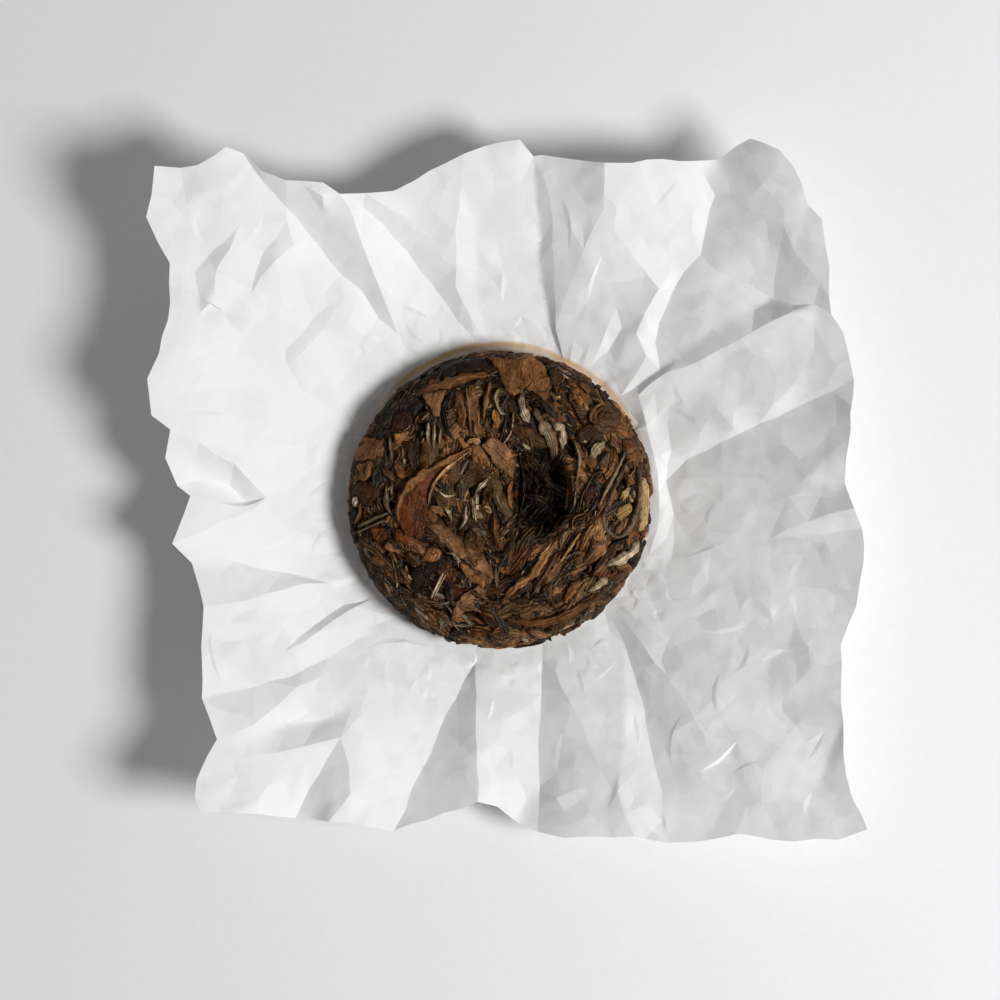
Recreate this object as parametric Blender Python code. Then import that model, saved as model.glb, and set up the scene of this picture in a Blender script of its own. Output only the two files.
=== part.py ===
"""A small pressed tea cake lying on its own opened, crumpled paper wrapper.

Two bodies. The cake is a round cake of pressed leaves, back side up: a domed underside with a flat
spot, a tapering rounded rim and, in the back, a shallow dish with the deep mark of a cloth knot. The wrapper is one thin sheet,
flat under the cake and rising all round in gathered folds. Sizes below are in millimetres; the
meshes are written in metres. The origin is on the wrapper's underside, on the cake's axis.
"""

import math
import random

import bmesh
import bpy
from mathutils import Vector, noise
from mathutils.geometry import delaunay_2d_cdt

MM = 0.001

# Wrapper
SHEET_THICKNESS = 0.6
FLAT_RADIUS = 48.0  # the part of the sheet that lies flat
FOOT_RADIUS = 66.0  # where the sheet has reached its full slope
SIDE_SLOPE = 0.38
SLOPE_LEAN = 0.07  # how much steeper the left side rises, and how much less steeply the right one
SLOPE_OVAL = 0.05  # how much steeper both sides rise than the near and the far edge
LIFT_SCALE = 0.75  # the folds' lifts are multiplied by this
EASE_RADIUS = 125.0  # beyond this the corners rise less steeply
CORNER_SLOPE = 0.25
FACET_PITCH = 11.0
FACET_RELIEF = 0.45

# Cake
CLEARANCE = 0.3  # between the cake and the sheet
CAKE_RADIUS = 54.3
CAKE_LOBES = (0.004, 0.010, 0.004)  # how far from round it is: to the right, along X and aslant
CAKE_THICKNESS = 18.6
REST_RADIUS = 24.0  # the flat spot that the cake lies on
RIM_HEIGHT = 8.2  # the widest level, above the cake's lowest point
SHOULDER_DROP = 3.4  # how far the rim's top lies below the crown
DISH_CENTRE = (-4.0, 2.5)
DISH_RADIUS = 26.0
DISH_DEPTH = 3.6
PIT_CENTRE = (14.5, 3.5)
PIT_RADII = (12.0, 17.0)
PIT_DEPTH = 10.5
HOLLOW_REACH = 46.0  # the hollows fade out towards this radius
LEAF_RELIEF = 1.1
RELIEF_MEAN = 0.5
LEAF_LENGTH = 9.0
LEAF_WIDTH = 5.5
CAKE_SEGMENTS = 100
CAKE_RINGS = 31

# The sheet's edge, clockwise from the upper left corner: x, y and the lift above the dish
EDGE = (
    (-122, 118, 0), (-109, 117.5, -1), (-97, 125, 2), (-91, 123, -1), (-76, 113.5, 3), (-57, 109, 4),
    (-38, 110.5, 0), (-13, 123.5, 3), (7, 128.5, 4), (12, 123, -1), (30, 121, 5), (37, 120, 10),
    (58, 121.5, 5), (78, 121.5, -4), (89, 128.5, 2), (104, 118, 8), (109, 105, 7), (117, 83, 6),
    (118, 66, 3), (126, 43, 4), (123, 6, 1), (126, -3, 5.5), (129, -10, 1.5), (128, -30, 3),
    (121.5, -52, 0.3), (122, -90, 2), (130, -116.5, 3), (97, -121, -1), (60, -122.5, -2),
    (48, -120, 1.5), (23, -121, -1), (13.5, -119, -5), (-1, -110, -1), (-8, -108, 5), (-38, -118.5, -6),
    (-61, -114.5, 1), (-73, -113.5, -6), (-95, -111, 2), (-108, -105, 2), (-100.5, -85, 1),
    (-106, -70.5, -2), (-105.5, -38, 2), (-110, -22.5, -4), (-116.5, -15.5, 1), (-110.5, 1.5, -3),
    (-117, 25, 3), (-125, 43, 1), (-117, 70, -1), (-117, 84, 0), (-125, 100, 1),
)

# The main folds, each from the sheet's edge inwards: a lift above the dish makes a ridge
FOLDS = {
    "upper_left_valley": ((-91, 123, -1), (-72, 100, -4), (-57, 81, -3.5), (-37, 60, -1)),
    "upper_left_ridge": ((-57, 109, 4), (-50, 93, 5), (-44, 78, 3), (-37, 60, -1)),
    "upper_valley": ((-38, 110.5, 0), (-33, 89, -3.2), (-20, 72, -2.8), (-9, 58, -1)),
    "upper_ridge": ((-13, 123.5, 3), (-16, 97, 3), (-16, 77, 2), (-9, 58, -1)),
    "mast_valley": ((12, 123, -1), (14, 100, -2.2), (15, 80, -2.4), (18, 64, -2)),
    "mast_ridge": ((15, 117, 0.5), (19.5, 98, 1.5), (19.5, 76, 1.5), (20, 62, 1)),
    "slip_ridge": ((37, 120, 10), (37, 109, 9), (30, 90, 6), (25, 77, 4.2), (22, 66, 1.5)),
    "plate_foot": ((37, 109, 9), (61, 88, -0.5), (57, 76, 3.5), (49, 60, 4.5), (55, 50, 0.5)),
    "plate_right": ((78, 121.5, -4), (74, 98, -5.5), (66, 82, -3), (57.5, 64, 0)),
    "ledge": ((50, 38, 3), (72, 50, 4.5), (90, 60, 5), (104, 67, 5), (118, 66, 3)),
    "right_valley": ((60, 7, -1), (80, 21, -4.2), (100, 30, -4.8), (126, 43, 4)),
    "shelf": ((97, -14, 0), (108, -12.5, 0.5), (129, -10, 1.5)),
    "sweep_valley": ((42, -46, -1), (50, -68, -1.8), (58, -104, -2.6), (60, -122.5, -2)),
    "thin_ridge": ((44, -42, 1), (60, -63, 2), (73, -84, 2.6)),
    "toe": ((32, -88, 1), (42, -104, 2.4), (48, -120, 1.5)),
    "slot": ((15.5, -57, 0), (14, -95, -5), (13.5, -119, -5)),
    "middle_ridge": ((-9, -59, 0), (-8.5, -80, 4), (-8, -108, 5)),
    "great_fold": ((-9, -59, 0), (-20, -78, -3.6), (-38, -118.5, -6)),
    "tent": ((-41, -58, 0.5), (-57, -85, 4), (-54, -104, 4), (-61, -114.5, 1)),
    "tent_valley": ((-57, -85, 4), (-65, -98, -2.5), (-73, -113.5, -6)),
    "left_shelf": ((-100.5, -85, 1), (-80, -74, 2.5), (-65, -64, 1)),
    "left_valley": ((-106, -70.5, -2), (-75, -63.5, -1), (-48, -48, 0)),
    "wing_ridge": ((-105.5, -38, 2), (-71, -30, 1.5), (-62, -30, 0)),
    "wing_valley": ((-110, -22.5, -4), (-95, -22, -3), (-68, -28.5, -2)),
    "tuck": ((-117, 25, 3), (-95, 13, 4), (-84, 1, 0.5), (-97, 5, -7), (-110.5, 1.5, -3)),
}


def dish_height(x, y):
    """Height of the sheet's smooth underlying dish, before any fold."""
    r = math.hypot(x, y)
    if r <= FLAT_RADIUS:
        return 0.0
    angle = math.atan2(y, x)
    slope = SIDE_SLOPE - SLOPE_LEAN * math.cos(angle) + SLOPE_OVAL * math.cos(2 * angle)
    turn = FOOT_RADIUS - FLAT_RADIUS
    if r < FOOT_RADIUS:
        return slope * (r - FLAT_RADIUS) ** 2 / (2 * turn)
    side = slope * (turn / 2 + min(r, EASE_RADIUS) - FOOT_RADIUS)
    return side + CORNER_SLOPE * max(0.0, r - EASE_RADIUS)


class SheetPlan:
    """The points and creases that the sheet is triangulated from."""

    def __init__(self):
        self.points = []
        self.heights = []
        self.creases = []
        self.index = {}

    def add(self, x, y, lift):
        key = (x, y)
        if key not in self.index:
            self.index[key] = len(self.points)
            self.points.append(Vector(key))
            self.heights.append(max(0.0, dish_height(x, y) + LIFT_SCALE * lift))
        return self.index[key]

    def crease(self, line, shut=False):
        ids = [self.add(*point) for point in line]
        ends = ids[1:] + ids[:1] if shut else ids[1:]
        self.creases += list(zip(ids, ends))
        return ids

    def clear_of(self, x, y, distance):
        here = Vector((x, y))
        return all((point - here).length > distance for point in self.points)


def inside(outline, x, y):
    """Whether a point lies within a closed outline, by counting the edges that a ray crosses."""
    found = False
    for (x1, y1), (x2, y2) in zip(outline, outline[1:] + outline[:1]):
        if (y1 > y) != (y2 > y) and x < x1 + (y - y1) * (x2 - x1) / (y2 - y1):
            found = not found
    return found


def add_facets(plan, outline, rng):
    """Small uneven facets between the folds, and plain ones where the sheet lies flat."""
    steps = int(2 * EASE_RADIUS / FACET_PITCH) + 2
    for row in range(-steps // 2, steps // 2 + 1):
        for column in range(-steps // 2, steps // 2 + 1):
            x = (column + 0.5 * (row % 2) + rng.uniform(-0.25, 0.25)) * FACET_PITCH
            y = (row * 0.87 + rng.uniform(-0.25, 0.25)) * FACET_PITCH
            lift = rng.uniform(-FACET_RELIEF, FACET_RELIEF)
            if not inside(outline, x, y) or not plan.clear_of(x, y, 0.62 * FACET_PITCH):
                continue
            lies_flat = math.hypot(x, y) < FLAT_RADIUS
            plan.add(x, y, 0.0 if lies_flat else nearby_lift(plan, x, y) + lift)


def nearby_lift(plan, x, y):
    """Lift of the folds around a point, each weighted by how near it is, before it is scaled."""
    total = 0.0
    weights = 0.0
    for point, height in zip(plan.points, plan.heights):
        weight = 1.0 / (4.0 + (point.x - x) ** 2 + (point.y - y) ** 2) ** 2
        total += weight * (height - dish_height(point.x, point.y))
        weights += weight
    return total / weights / LIFT_SCALE


def make_wrapper():
    """One thin closed sheet: its upper side triangulated along the folds, then thickened downwards."""
    plan = SheetPlan()
    edge = plan.crease(EDGE, shut=True)
    for line in FOLDS.values():
        plan.crease(line)
    for turn in range(24):
        angle = math.tau * turn / 24
        plan.add(FLAT_RADIUS * math.cos(angle), FLAT_RADIUS * math.sin(angle), 0.0)
    outline = [(x, y) for x, y, _ in EDGE]
    add_facets(plan, outline, random.Random(7))
    cut = delaunay_2d_cdt(plan.points, plan.creases, [edge], 1, 1e-4)
    bm = bmesh.new()
    for place, sources in zip(cut[0], cut[3]):
        height = plan.heights[sources[0]]
        bm.verts.new((place.x * MM, place.y * MM, (height + SHEET_THICKNESS) * MM))
    bm.verts.ensure_lookup_table()
    for corners in cut[2]:
        bm.faces.new([bm.verts[corner] for corner in corners])
    bmesh.ops.recalc_face_normals(bm, faces=bm.faces)
    if bm.faces[0].normal.z > 0:
        bmesh.ops.reverse_faces(bm, faces=bm.faces)
    lower = bmesh.ops.extrude_face_region(bm, geom=bm.faces[:], use_keep_orig=True)["geom"]
    upper = [item for item in lower if isinstance(item, bmesh.types.BMVert)]
    for vert in bm.verts:
        if vert not in upper:
            vert.co.z -= SHEET_THICKNESS * MM
    bmesh.ops.recalc_face_normals(bm, faces=bm.faces)
    return finish_object("wrapper", bm, "paper", (0.86, 0.86, 0.85), 0.75)


def cake_section():
    """Points of the cake's half section, from the underside's centre round the rim to the crown."""
    base = SHEET_THICKNESS + CLEARANCE
    crown = base + CAKE_THICKNESS
    shoulder = crown - SHOULDER_DROP
    r = CAKE_RADIUS
    return [
        Vector((0.0, base)), Vector((0.5 * REST_RADIUS, base)), Vector((REST_RADIUS, base)),
        Vector((0.70 * r, base + 0.9)), Vector((0.88 * r, base + 2.8)), Vector((0.975 * r, base + 5.4)),
        Vector((r, base + RIM_HEIGHT)), Vector((0.975 * r, shoulder - 2.4)), Vector((0.91 * r, shoulder)),
        Vector((0.76 * r, crown - 1.0)), Vector((0.60 * r, crown)), Vector((0.30 * r, crown)),
        Vector((0.0, crown)),
    ]


def smooth_step(share):
    """0 below nothing, 1 above one, and an even curve between."""
    share = max(0.0, min(1.0, share))
    return share * share * (3.0 - 2.0 * share)


def hollow(x, y):
    """Depth of the dish and of the knot's pit in the cake's back."""
    dish = 1.0 - math.hypot(x - DISH_CENTRE[0], y - DISH_CENTRE[1]) / DISH_RADIUS
    pit = 1.0 - math.hypot((x - PIT_CENTRE[0]) / PIT_RADII[0], (y - PIT_CENTRE[1]) / PIT_RADII[1])
    depth = DISH_DEPTH * smooth_step(1.5 * dish) + PIT_DEPTH * smooth_step(2.6 * pit)
    return depth * smooth_step((HOLLOW_REACH - math.hypot(x, y)) / 6.0)


def swell(angle, r):
    """How much the cake's outline grows towards a direction, fading out at the middle."""
    first, second, slanted = CAKE_LOBES
    growth = first * math.cos(angle) + second * math.cos(2 * angle) + slanted * math.sin(2 * angle)
    return 1.0 + growth * (r / CAKE_RADIUS) ** 2


def smooth_line(points, count):
    """The given number of points, evenly spaced on a Catmull-Rom curve through the given ones."""
    dense = []
    padded = [points[0]] + points + [points[-1]]
    for a, b, c, d in zip(padded, padded[1:], padded[2:], padded[3:]):
        for step in range(16):
            t = step / 16
            dense.append(
                0.5 * (2 * b + (c - a) * t + (2 * a - 5 * b + 4 * c - d) * t * t
                       + (3 * b - a - 3 * c + d) * t ** 3)
            )
    dense.append(points[-1])
    lengths = [0.0]
    for start, end in zip(dense, dense[1:]):
        lengths.append(lengths[-1] + (end - start).length)
    line = []
    spot = 0
    for number in range(count):
        goal = lengths[-1] * number / (count - 1)
        while spot < len(dense) - 2 and lengths[spot + 1] < goal:
            spot += 1
        span = lengths[spot + 1] - lengths[spot]
        line.append(dense[spot].lerp(dense[spot + 1], (goal - lengths[spot]) / span if span else 0.0))
    return line


def leaf_relief(x, y, z):
    """Height of the pressed leaves at a place on the cake: flat patches with steps between them."""
    place = Vector((x / LEAF_LENGTH, y / LEAF_WIDTH, z / LEAF_WIDTH))
    bent = place + 1.1 * noise.noise_vector(place * 0.45)
    return noise.cell(bent) + 0.5 * noise.noise(bent * 1.7)


def make_cake():
    """The pressed cake: its section turned about the axis, with uneven leaf edges all over."""
    section = smooth_line(cake_section(), CAKE_RINGS)
    base = section[0].y
    bm = bmesh.new()
    rings = []
    for number, spot in enumerate(section[1:-1], 1):
        tangent = (section[number + 1] - section[number - 1]).normalized()
        outward = Vector((tangent.y, -tangent.x))
        on_back = spot.y - base > RIM_HEIGHT
        lies_flat = spot.y - base < 0.3
        ring = []
        for turn in range(CAKE_SEGMENTS):
            angle = math.tau * turn / CAKE_SEGMENTS
            around = Vector((math.cos(angle), math.sin(angle)))
            relief = leaf_relief(spot.x * around.x, spot.x * around.y, spot.y)
            out = 0.0 if lies_flat else LEAF_RELIEF * (relief - RELIEF_MEAN)
            x, y = around * (spot.x + outward.x * out) * swell(angle, spot.x)
            sunk = hollow(x, y) if on_back else 0.0
            z = max(base, spot.y + outward.y * out - sunk)
            ring.append(bm.verts.new((x * MM, y * MM, z * MM)))
        rings.append(ring)
    low = bm.verts.new((0.0, 0.0, base * MM))
    high = bm.verts.new((0.0, 0.0, (section[-1].y - hollow(0.0, 0.0)) * MM))
    for inner, outer in zip(rings, rings[1:]):
        for turn in range(CAKE_SEGMENTS):
            after = (turn + 1) % CAKE_SEGMENTS
            bm.faces.new((inner[turn], inner[after], outer[after], outer[turn]))
    for turn in range(CAKE_SEGMENTS):
        after = (turn + 1) % CAKE_SEGMENTS
        bm.faces.new((low, rings[0][after], rings[0][turn]))
        bm.faces.new((high, rings[-1][turn], rings[-1][after]))
    bmesh.ops.recalc_face_normals(bm, faces=bm.faces)
    return finish_object("tea_cake", bm, "pressed_tea", (0.10, 0.058, 0.034), 0.6)


def finish_object(name, bm, material_name, colour, roughness):
    """Turns a mesh under construction into a named object with its own material."""
    bmesh.ops.triangulate(bm, faces=bm.faces)
    mesh = bpy.data.meshes.new(name)
    bm.to_mesh(mesh)
    bm.free()
    mesh.shade_smooth()
    mesh.set_sharp_from_angle(angle=math.radians(25))
    material = bpy.data.materials.new(material_name)
    material.use_nodes = True
    shader = material.node_tree.nodes["Principled BSDF"]
    shader.inputs["Base Color"].default_value = (*colour, 1.0)
    shader.inputs["Roughness"].default_value = roughness
    shader.inputs["Metallic"].default_value = 0.0
    mesh.materials.append(material)
    obj = bpy.data.objects.new(name, mesh)
    bpy.context.scene.collection.objects.link(obj)
    return obj


def main():
    for obj in list(bpy.data.objects):
        bpy.data.objects.remove(obj, do_unlink=True)
    make_wrapper()
    make_cake()


main()
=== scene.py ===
"""Looks of a small pressed tea cake lying on its own opened, crumpled paper wrapper.

The cake is a heap of pressed leaves: a dark core with leaf flakes, rolled strands, pale buds and
stems laid over it. The wrapper is one thin sheet folded along a network of creases. Sizes in the
classes are millimetres, in the part's own frame, and become metres where a mesh is made.
"""

from __future__ import annotations

import logging
from collections.abc import Iterable, Sequence
from dataclasses import dataclass, field, replace
from enum import Enum
from math import atan2, ceil, cos, degrees, dist, hypot, inf, pi, radians, sin, sqrt, tau
from random import Random

import bmesh
import bpy
import numpy as np
from bpy.types import ID, Material, Mesh, Node, NodeSocket as Socket, Object
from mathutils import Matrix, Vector
from mathutils.geometry import delaunay_2d_cdt
from mathutils.kdtree import KDTree

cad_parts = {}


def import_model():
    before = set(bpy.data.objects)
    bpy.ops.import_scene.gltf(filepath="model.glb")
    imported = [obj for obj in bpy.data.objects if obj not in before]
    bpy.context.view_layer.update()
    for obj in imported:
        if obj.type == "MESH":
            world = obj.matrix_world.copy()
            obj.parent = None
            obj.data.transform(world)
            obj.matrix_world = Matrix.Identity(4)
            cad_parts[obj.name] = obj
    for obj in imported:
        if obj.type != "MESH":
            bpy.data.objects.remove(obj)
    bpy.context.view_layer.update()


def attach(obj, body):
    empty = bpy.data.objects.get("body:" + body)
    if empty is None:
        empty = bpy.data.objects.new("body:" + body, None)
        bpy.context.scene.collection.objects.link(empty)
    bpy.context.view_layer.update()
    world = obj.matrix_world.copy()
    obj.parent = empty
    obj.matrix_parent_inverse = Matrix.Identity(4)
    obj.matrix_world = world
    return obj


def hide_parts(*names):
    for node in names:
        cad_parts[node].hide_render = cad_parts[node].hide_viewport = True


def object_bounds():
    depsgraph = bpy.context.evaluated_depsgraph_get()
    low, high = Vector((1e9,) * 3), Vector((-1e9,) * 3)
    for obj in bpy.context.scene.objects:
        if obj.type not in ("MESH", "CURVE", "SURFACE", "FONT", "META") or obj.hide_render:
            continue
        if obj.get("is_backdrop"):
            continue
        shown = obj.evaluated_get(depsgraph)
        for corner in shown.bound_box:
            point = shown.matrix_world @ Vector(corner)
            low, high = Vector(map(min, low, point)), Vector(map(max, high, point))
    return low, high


LOG = logging.getLogger("tea_cake")
MM = 0.001
FINISH_INPUTS = ("Base Color", "Roughness", "Specular IOR Level")

Point = tuple[float, float]
FoldPoint = tuple[float, float, float]
Colour = tuple[float, float, float]
Creases = dict[tuple[int, int], float]
Array = np.ndarray
Folded = tuple[Array, Array, Creases]


def srgb(red: int, green: int, blue: int) -> Colour:
    """Linear colour of a display colour given in steps of 255."""
    return tuple((value / 255) ** 2.2 for value in (red, green, blue))


def in_scene(name: str, data: ID) -> Object:
    """Makes an object of a mesh, a lamp or a camera, and puts it in the scene.

    Args:
        name: its name.
        data: what it is made of.

    Returns:
        The object.
    """
    made = bpy.data.objects.new(name, data)
    bpy.context.scene.collection.objects.link(made)
    return made


def run_lengths(points: Array) -> Array:
    """Distance along a line from its start to each of its points."""
    return np.concatenate([[0.0], np.cumsum(np.linalg.norm(np.diff(points, axis=0), axis=1))])


def distances(points: Array, x: float, y: float) -> Array:
    """How far each point is from a place, seen from above."""
    return np.hypot(points[:, 0] - x, points[:, 1] - y)


# ---- node building


class NodeBench:
    """Builds one material's node tree with short calls."""

    def __init__(self, name: str) -> None:
        """Starts a material with a Principled shader.

        Args:
            name: the material's name.
        """
        self.material = bpy.data.materials.new(name)
        self.material.use_nodes = True
        self.tree = self.material.node_tree
        self.shader = self.tree.nodes["Principled BSDF"]

    def node(self, kind: str, **settings: object) -> Node:
        """Adds a node.

        Args:
            kind: the node's type name, without the ShaderNode prefix.
            settings: properties to set on it.

        Returns:
            The new node.
        """
        made = self.tree.nodes.new("ShaderNode" + kind)
        for key, value in settings.items():
            setattr(made, key, value)
        return made

    def link(self, start: Socket, end: Socket) -> None:
        """Joins an output socket to an input socket."""
        self.tree.links.new(start, end)

    def feed(self, socket: Socket, value: object) -> None:
        """Links a socket to an output, or sets it to a plain value.

        Args:
            socket: the input.
            value: an output socket, a number or a tuple.
        """
        if isinstance(value, Socket):
            self.link(value, socket)
        else:
            socket.default_value = value

    def combined(self, kind: str, values: Iterable[object], **settings: object) -> Socket:
        """Adds a node that works on several values.

        Args:
            kind: the node's type name, without the ShaderNode prefix.
            values: its inputs, in order.
            settings: properties to set on it.

        Returns:
            Its output socket.
        """
        made = self.node(kind, **settings)
        for socket, value in zip(made.inputs, values):
            self.feed(socket, value)
        return made.outputs[0]

    def maths(self, operation: str, *values: object) -> Socket:
        """The result of a Math node."""
        return self.combined("Math", values, operation=operation)

    def vectors(self, operation: str, *values: object) -> Socket:
        """The result of a Vector Math node."""
        return self.combined("VectorMath", values, operation=operation)

    def times(self, first: object, second: object) -> Socket:
        """The product of two values."""
        return self.maths("MULTIPLY", first, second)

    def minus(self, first: object, second: object) -> Socket:
        """The first value less the second."""
        return self.maths("SUBTRACT", first, second)

    def placed(self, kind: str, vector: Socket, **inputs: object) -> Node:
        """Adds a node that works on coordinates.

        Args:
            kind: the node's type name, without the ShaderNode prefix.
            vector: the coordinates.
            inputs: values of its other inputs.

        Returns:
            The new node.
        """
        made = self.node(kind)
        self.link(vector, made.inputs["Vector"])
        for key, value in inputs.items():
            made.inputs[key].default_value = value
        return made

    def noise(self, vector: Socket, scale: float, detail: float = 3.0, rough: float = 0.5) -> Socket:
        """The value of a Noise texture, from 0 to 1."""
        return self.placed("TexNoise", vector, Scale=scale, Detail=detail, Roughness=rough).outputs["Fac"]

    def spread(self, value: object, low: float, high: float, to_low: float, to_high: float) -> Socket:
        """Maps one range of a value smoothly onto another.

        Args:
            value: the value.
            low: where the range starts.
            high: where it ends.
            to_low: the result at its start.
            to_high: the result at its end.

        Returns:
            The mapped value.
        """
        made = self.node("MapRange", interpolation_type="SMOOTHSTEP")
        values = {"Value": value, "From Min": low, "From Max": high, "To Min": to_low, "To Max": to_high}
        for key, item in values.items():
            self.feed(made.inputs[key], item)
        return made.outputs["Result"]

    def mix(self, factor: object, first: object, second: object, blend: str = "MIX") -> Socket:
        """Mixes two colours.

        Args:
            factor: the share of the second.
            first: the first colour.
            second: the second colour.
            blend: how they are blended.

        Returns:
            The mixed colour.
        """
        made = self.node("Mix", data_type="RGBA", blend_type=blend)
        self.feed(made.inputs["Factor"], factor)
        for socket, value in ((made.inputs[6], first), (made.inputs[7], second)):
            self.feed(socket, (*value, 1.0) if isinstance(value, tuple) and len(value) == 3 else value)
        return made.outputs[2]

    def stretch(self, vector: Socket, scale: FoldPoint) -> Socket:
        """Scales coordinates along each axis."""
        return self.placed("Mapping", vector, Scale=scale).outputs[0]

    def grey(self, value: Socket) -> Socket:
        """A grey colour of the given value."""
        return self.combined("CombineColor", (value,) * 3)

    def finish(self, colour: object, roughness: object, specular: float) -> None:
        """Sets the shader's colour, roughness and mirror strength."""
        for key, value in zip(FINISH_INPUTS, (colour, roughness, specular)):
            self.feed(self.shader.inputs[key], value)

    def bump(self, height: Socket, distance_mm: float, strength: float = 1.0) -> None:
        """Adds a bump to the shader, on top of any before it.

        Args:
            height: the height, from 0 to 1.
            distance_mm: how far 1 stands out.
            strength: how much of it shows.
        """
        made = self.node("Bump")
        made.inputs["Strength"].default_value = strength
        made.inputs["Distance"].default_value = distance_mm * MM
        self.link(height, made.inputs["Height"])
        socket = self.shader.inputs["Normal"]
        if socket.is_linked:
            self.link(socket.links[0].from_socket, made.inputs["Normal"])
        self.link(made.outputs[0], socket)


# ---- finishes


@dataclass(frozen=True)
class PaperFinish:
    """Thin bleached wrapping paper, with the oily ring that the cake has left on it."""

    colour: Colour = (0.87, 0.872, 0.872)
    stain: Colour = (0.66, 0.40, 0.16)
    darker_near_cake: Colour = (0.74, 0.66, 0.56)
    ring_centre: Point = (0.2, 3.0)
    ring_radius: float = 53.4
    ring_core: float = 0.25
    ring_width: float = 1.9
    ring_fill: float = 0.42
    near_cake_radius: float = 58.0
    near_cake_fade: float = 6.0
    roughness: float = 0.62
    specular: float = 0.35
    facets: tuple[Point, ...] = ((13.0, 0.10), (6.0, 0.06))
    facet_warp: float = 0.008

    def build(self) -> Material:
        """Makes the material.

        Returns:
            The material.
        """
        bench = NodeBench("wrapping_paper")
        place = bench.node("TexCoord").outputs["Object"]
        cloud = bench.noise(place, 28.0, 4.0)
        fibre = bench.noise(place, 900.0, 2.0, 0.6)
        shade = bench.spread(cloud, 0.35, 0.7, 0.965, 1.0)
        base = bench.mix(1.0, self.colour, bench.grey(shade), "MULTIPLY")
        ring, darker_near_cake = self.stains(bench, place)
        near_cake = bench.mix(darker_near_cake, base, self.darker_near_cake)
        bench.finish(bench.mix(ring, near_cake, self.stain), self.roughness, self.specular)
        self.crumple(bench, place)
        bench.bump(fibre, 0.03, 0.5)
        bench.bump(bench.noise(place, 220.0, 3.0, 0.6), 0.03, 0.8)
        return bench.material

    def crumple(self, bench: NodeBench, place: Socket) -> None:
        """Tilts small uneven facets of the surface.

        Args:
            bench: the material's bench.
            place: object coordinates.
        """
        warp = bench.placed("TexNoise", place, Scale=42.0)
        bent = bench.vectors("MULTIPLY_ADD", warp.outputs["Color"], (self.facet_warp,) * 3, place)
        normal = bench.node("NewGeometry").outputs["Normal"]
        for size_mm, tilt in self.facets:
            cells = bench.placed("TexVoronoi", bent, Scale=1.0 / (size_mm * MM))
            lean = bench.vectors("SUBTRACT", cells.outputs["Color"], (0.5,) * 3)
            normal = bench.vectors("MULTIPLY_ADD", lean, (tilt,) * 3, normal)
        bench.link(bench.vectors("NORMALIZE", normal), bench.shader.inputs["Normal"])

    def stains(self, bench: NodeBench, place: Socket) -> tuple[Socket, Socket]:
        """How strongly the marks show: a soft stain ring, strongest on the far side, and a faint darker band
        close all round.

        Args:
            bench: the material's bench.
            place: object coordinates.

        Returns:
            The ring's share and the darker band's share, from 0 to 1.
        """
        parts = bench.node("SeparateXYZ")
        bench.link(place, parts.inputs[0])
        x = bench.minus(parts.outputs[0], self.ring_centre[0] * MM)
        y = bench.minus(parts.outputs[1], self.ring_centre[1] * MM)
        away = bench.node("VectorMath", operation="LENGTH")
        bench.link(bench.combined("CombineXYZ", (x, y)), away.inputs[0])
        wander = bench.times(bench.minus(bench.noise(place, 60.0, 2.0), 0.5), 0.003)
        reach = bench.maths("ADD", away.outputs["Value"], wander)
        off = bench.maths("ABSOLUTE", bench.minus(reach, self.ring_radius * MM))
        line = bench.spread(off, self.ring_core * MM, self.ring_width * MM, 0.9, 0.0)
        within = (self.ring_radius - 0.4) * MM
        inner = bench.spread(reach, within, self.ring_radius * MM, self.ring_fill, 0.0)
        band = bench.maths("MAXIMUM", line, inner)
        patchy = bench.spread(bench.noise(place, 45.0, 3.0), 0.3, 0.6, 0.6, 1.0)
        far_side = bench.spread(y, -0.006, 0.056, 0.12, 1.0)
        not_left = bench.spread(x, -0.047, -0.039, 0.0, 1.0)
        ring = bench.times(bench.times(band, patchy), bench.times(far_side, not_left))
        # A darker, warmer band on the paper close round the cake's edge.
        near_cake = (self.near_cake_radius - self.near_cake_fade) * MM
        darker_near_cake = bench.spread(reach, near_cake, self.near_cake_radius * MM, 0.45, 0.0)
        return ring, bench.times(darker_near_cake, patchy)


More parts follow.
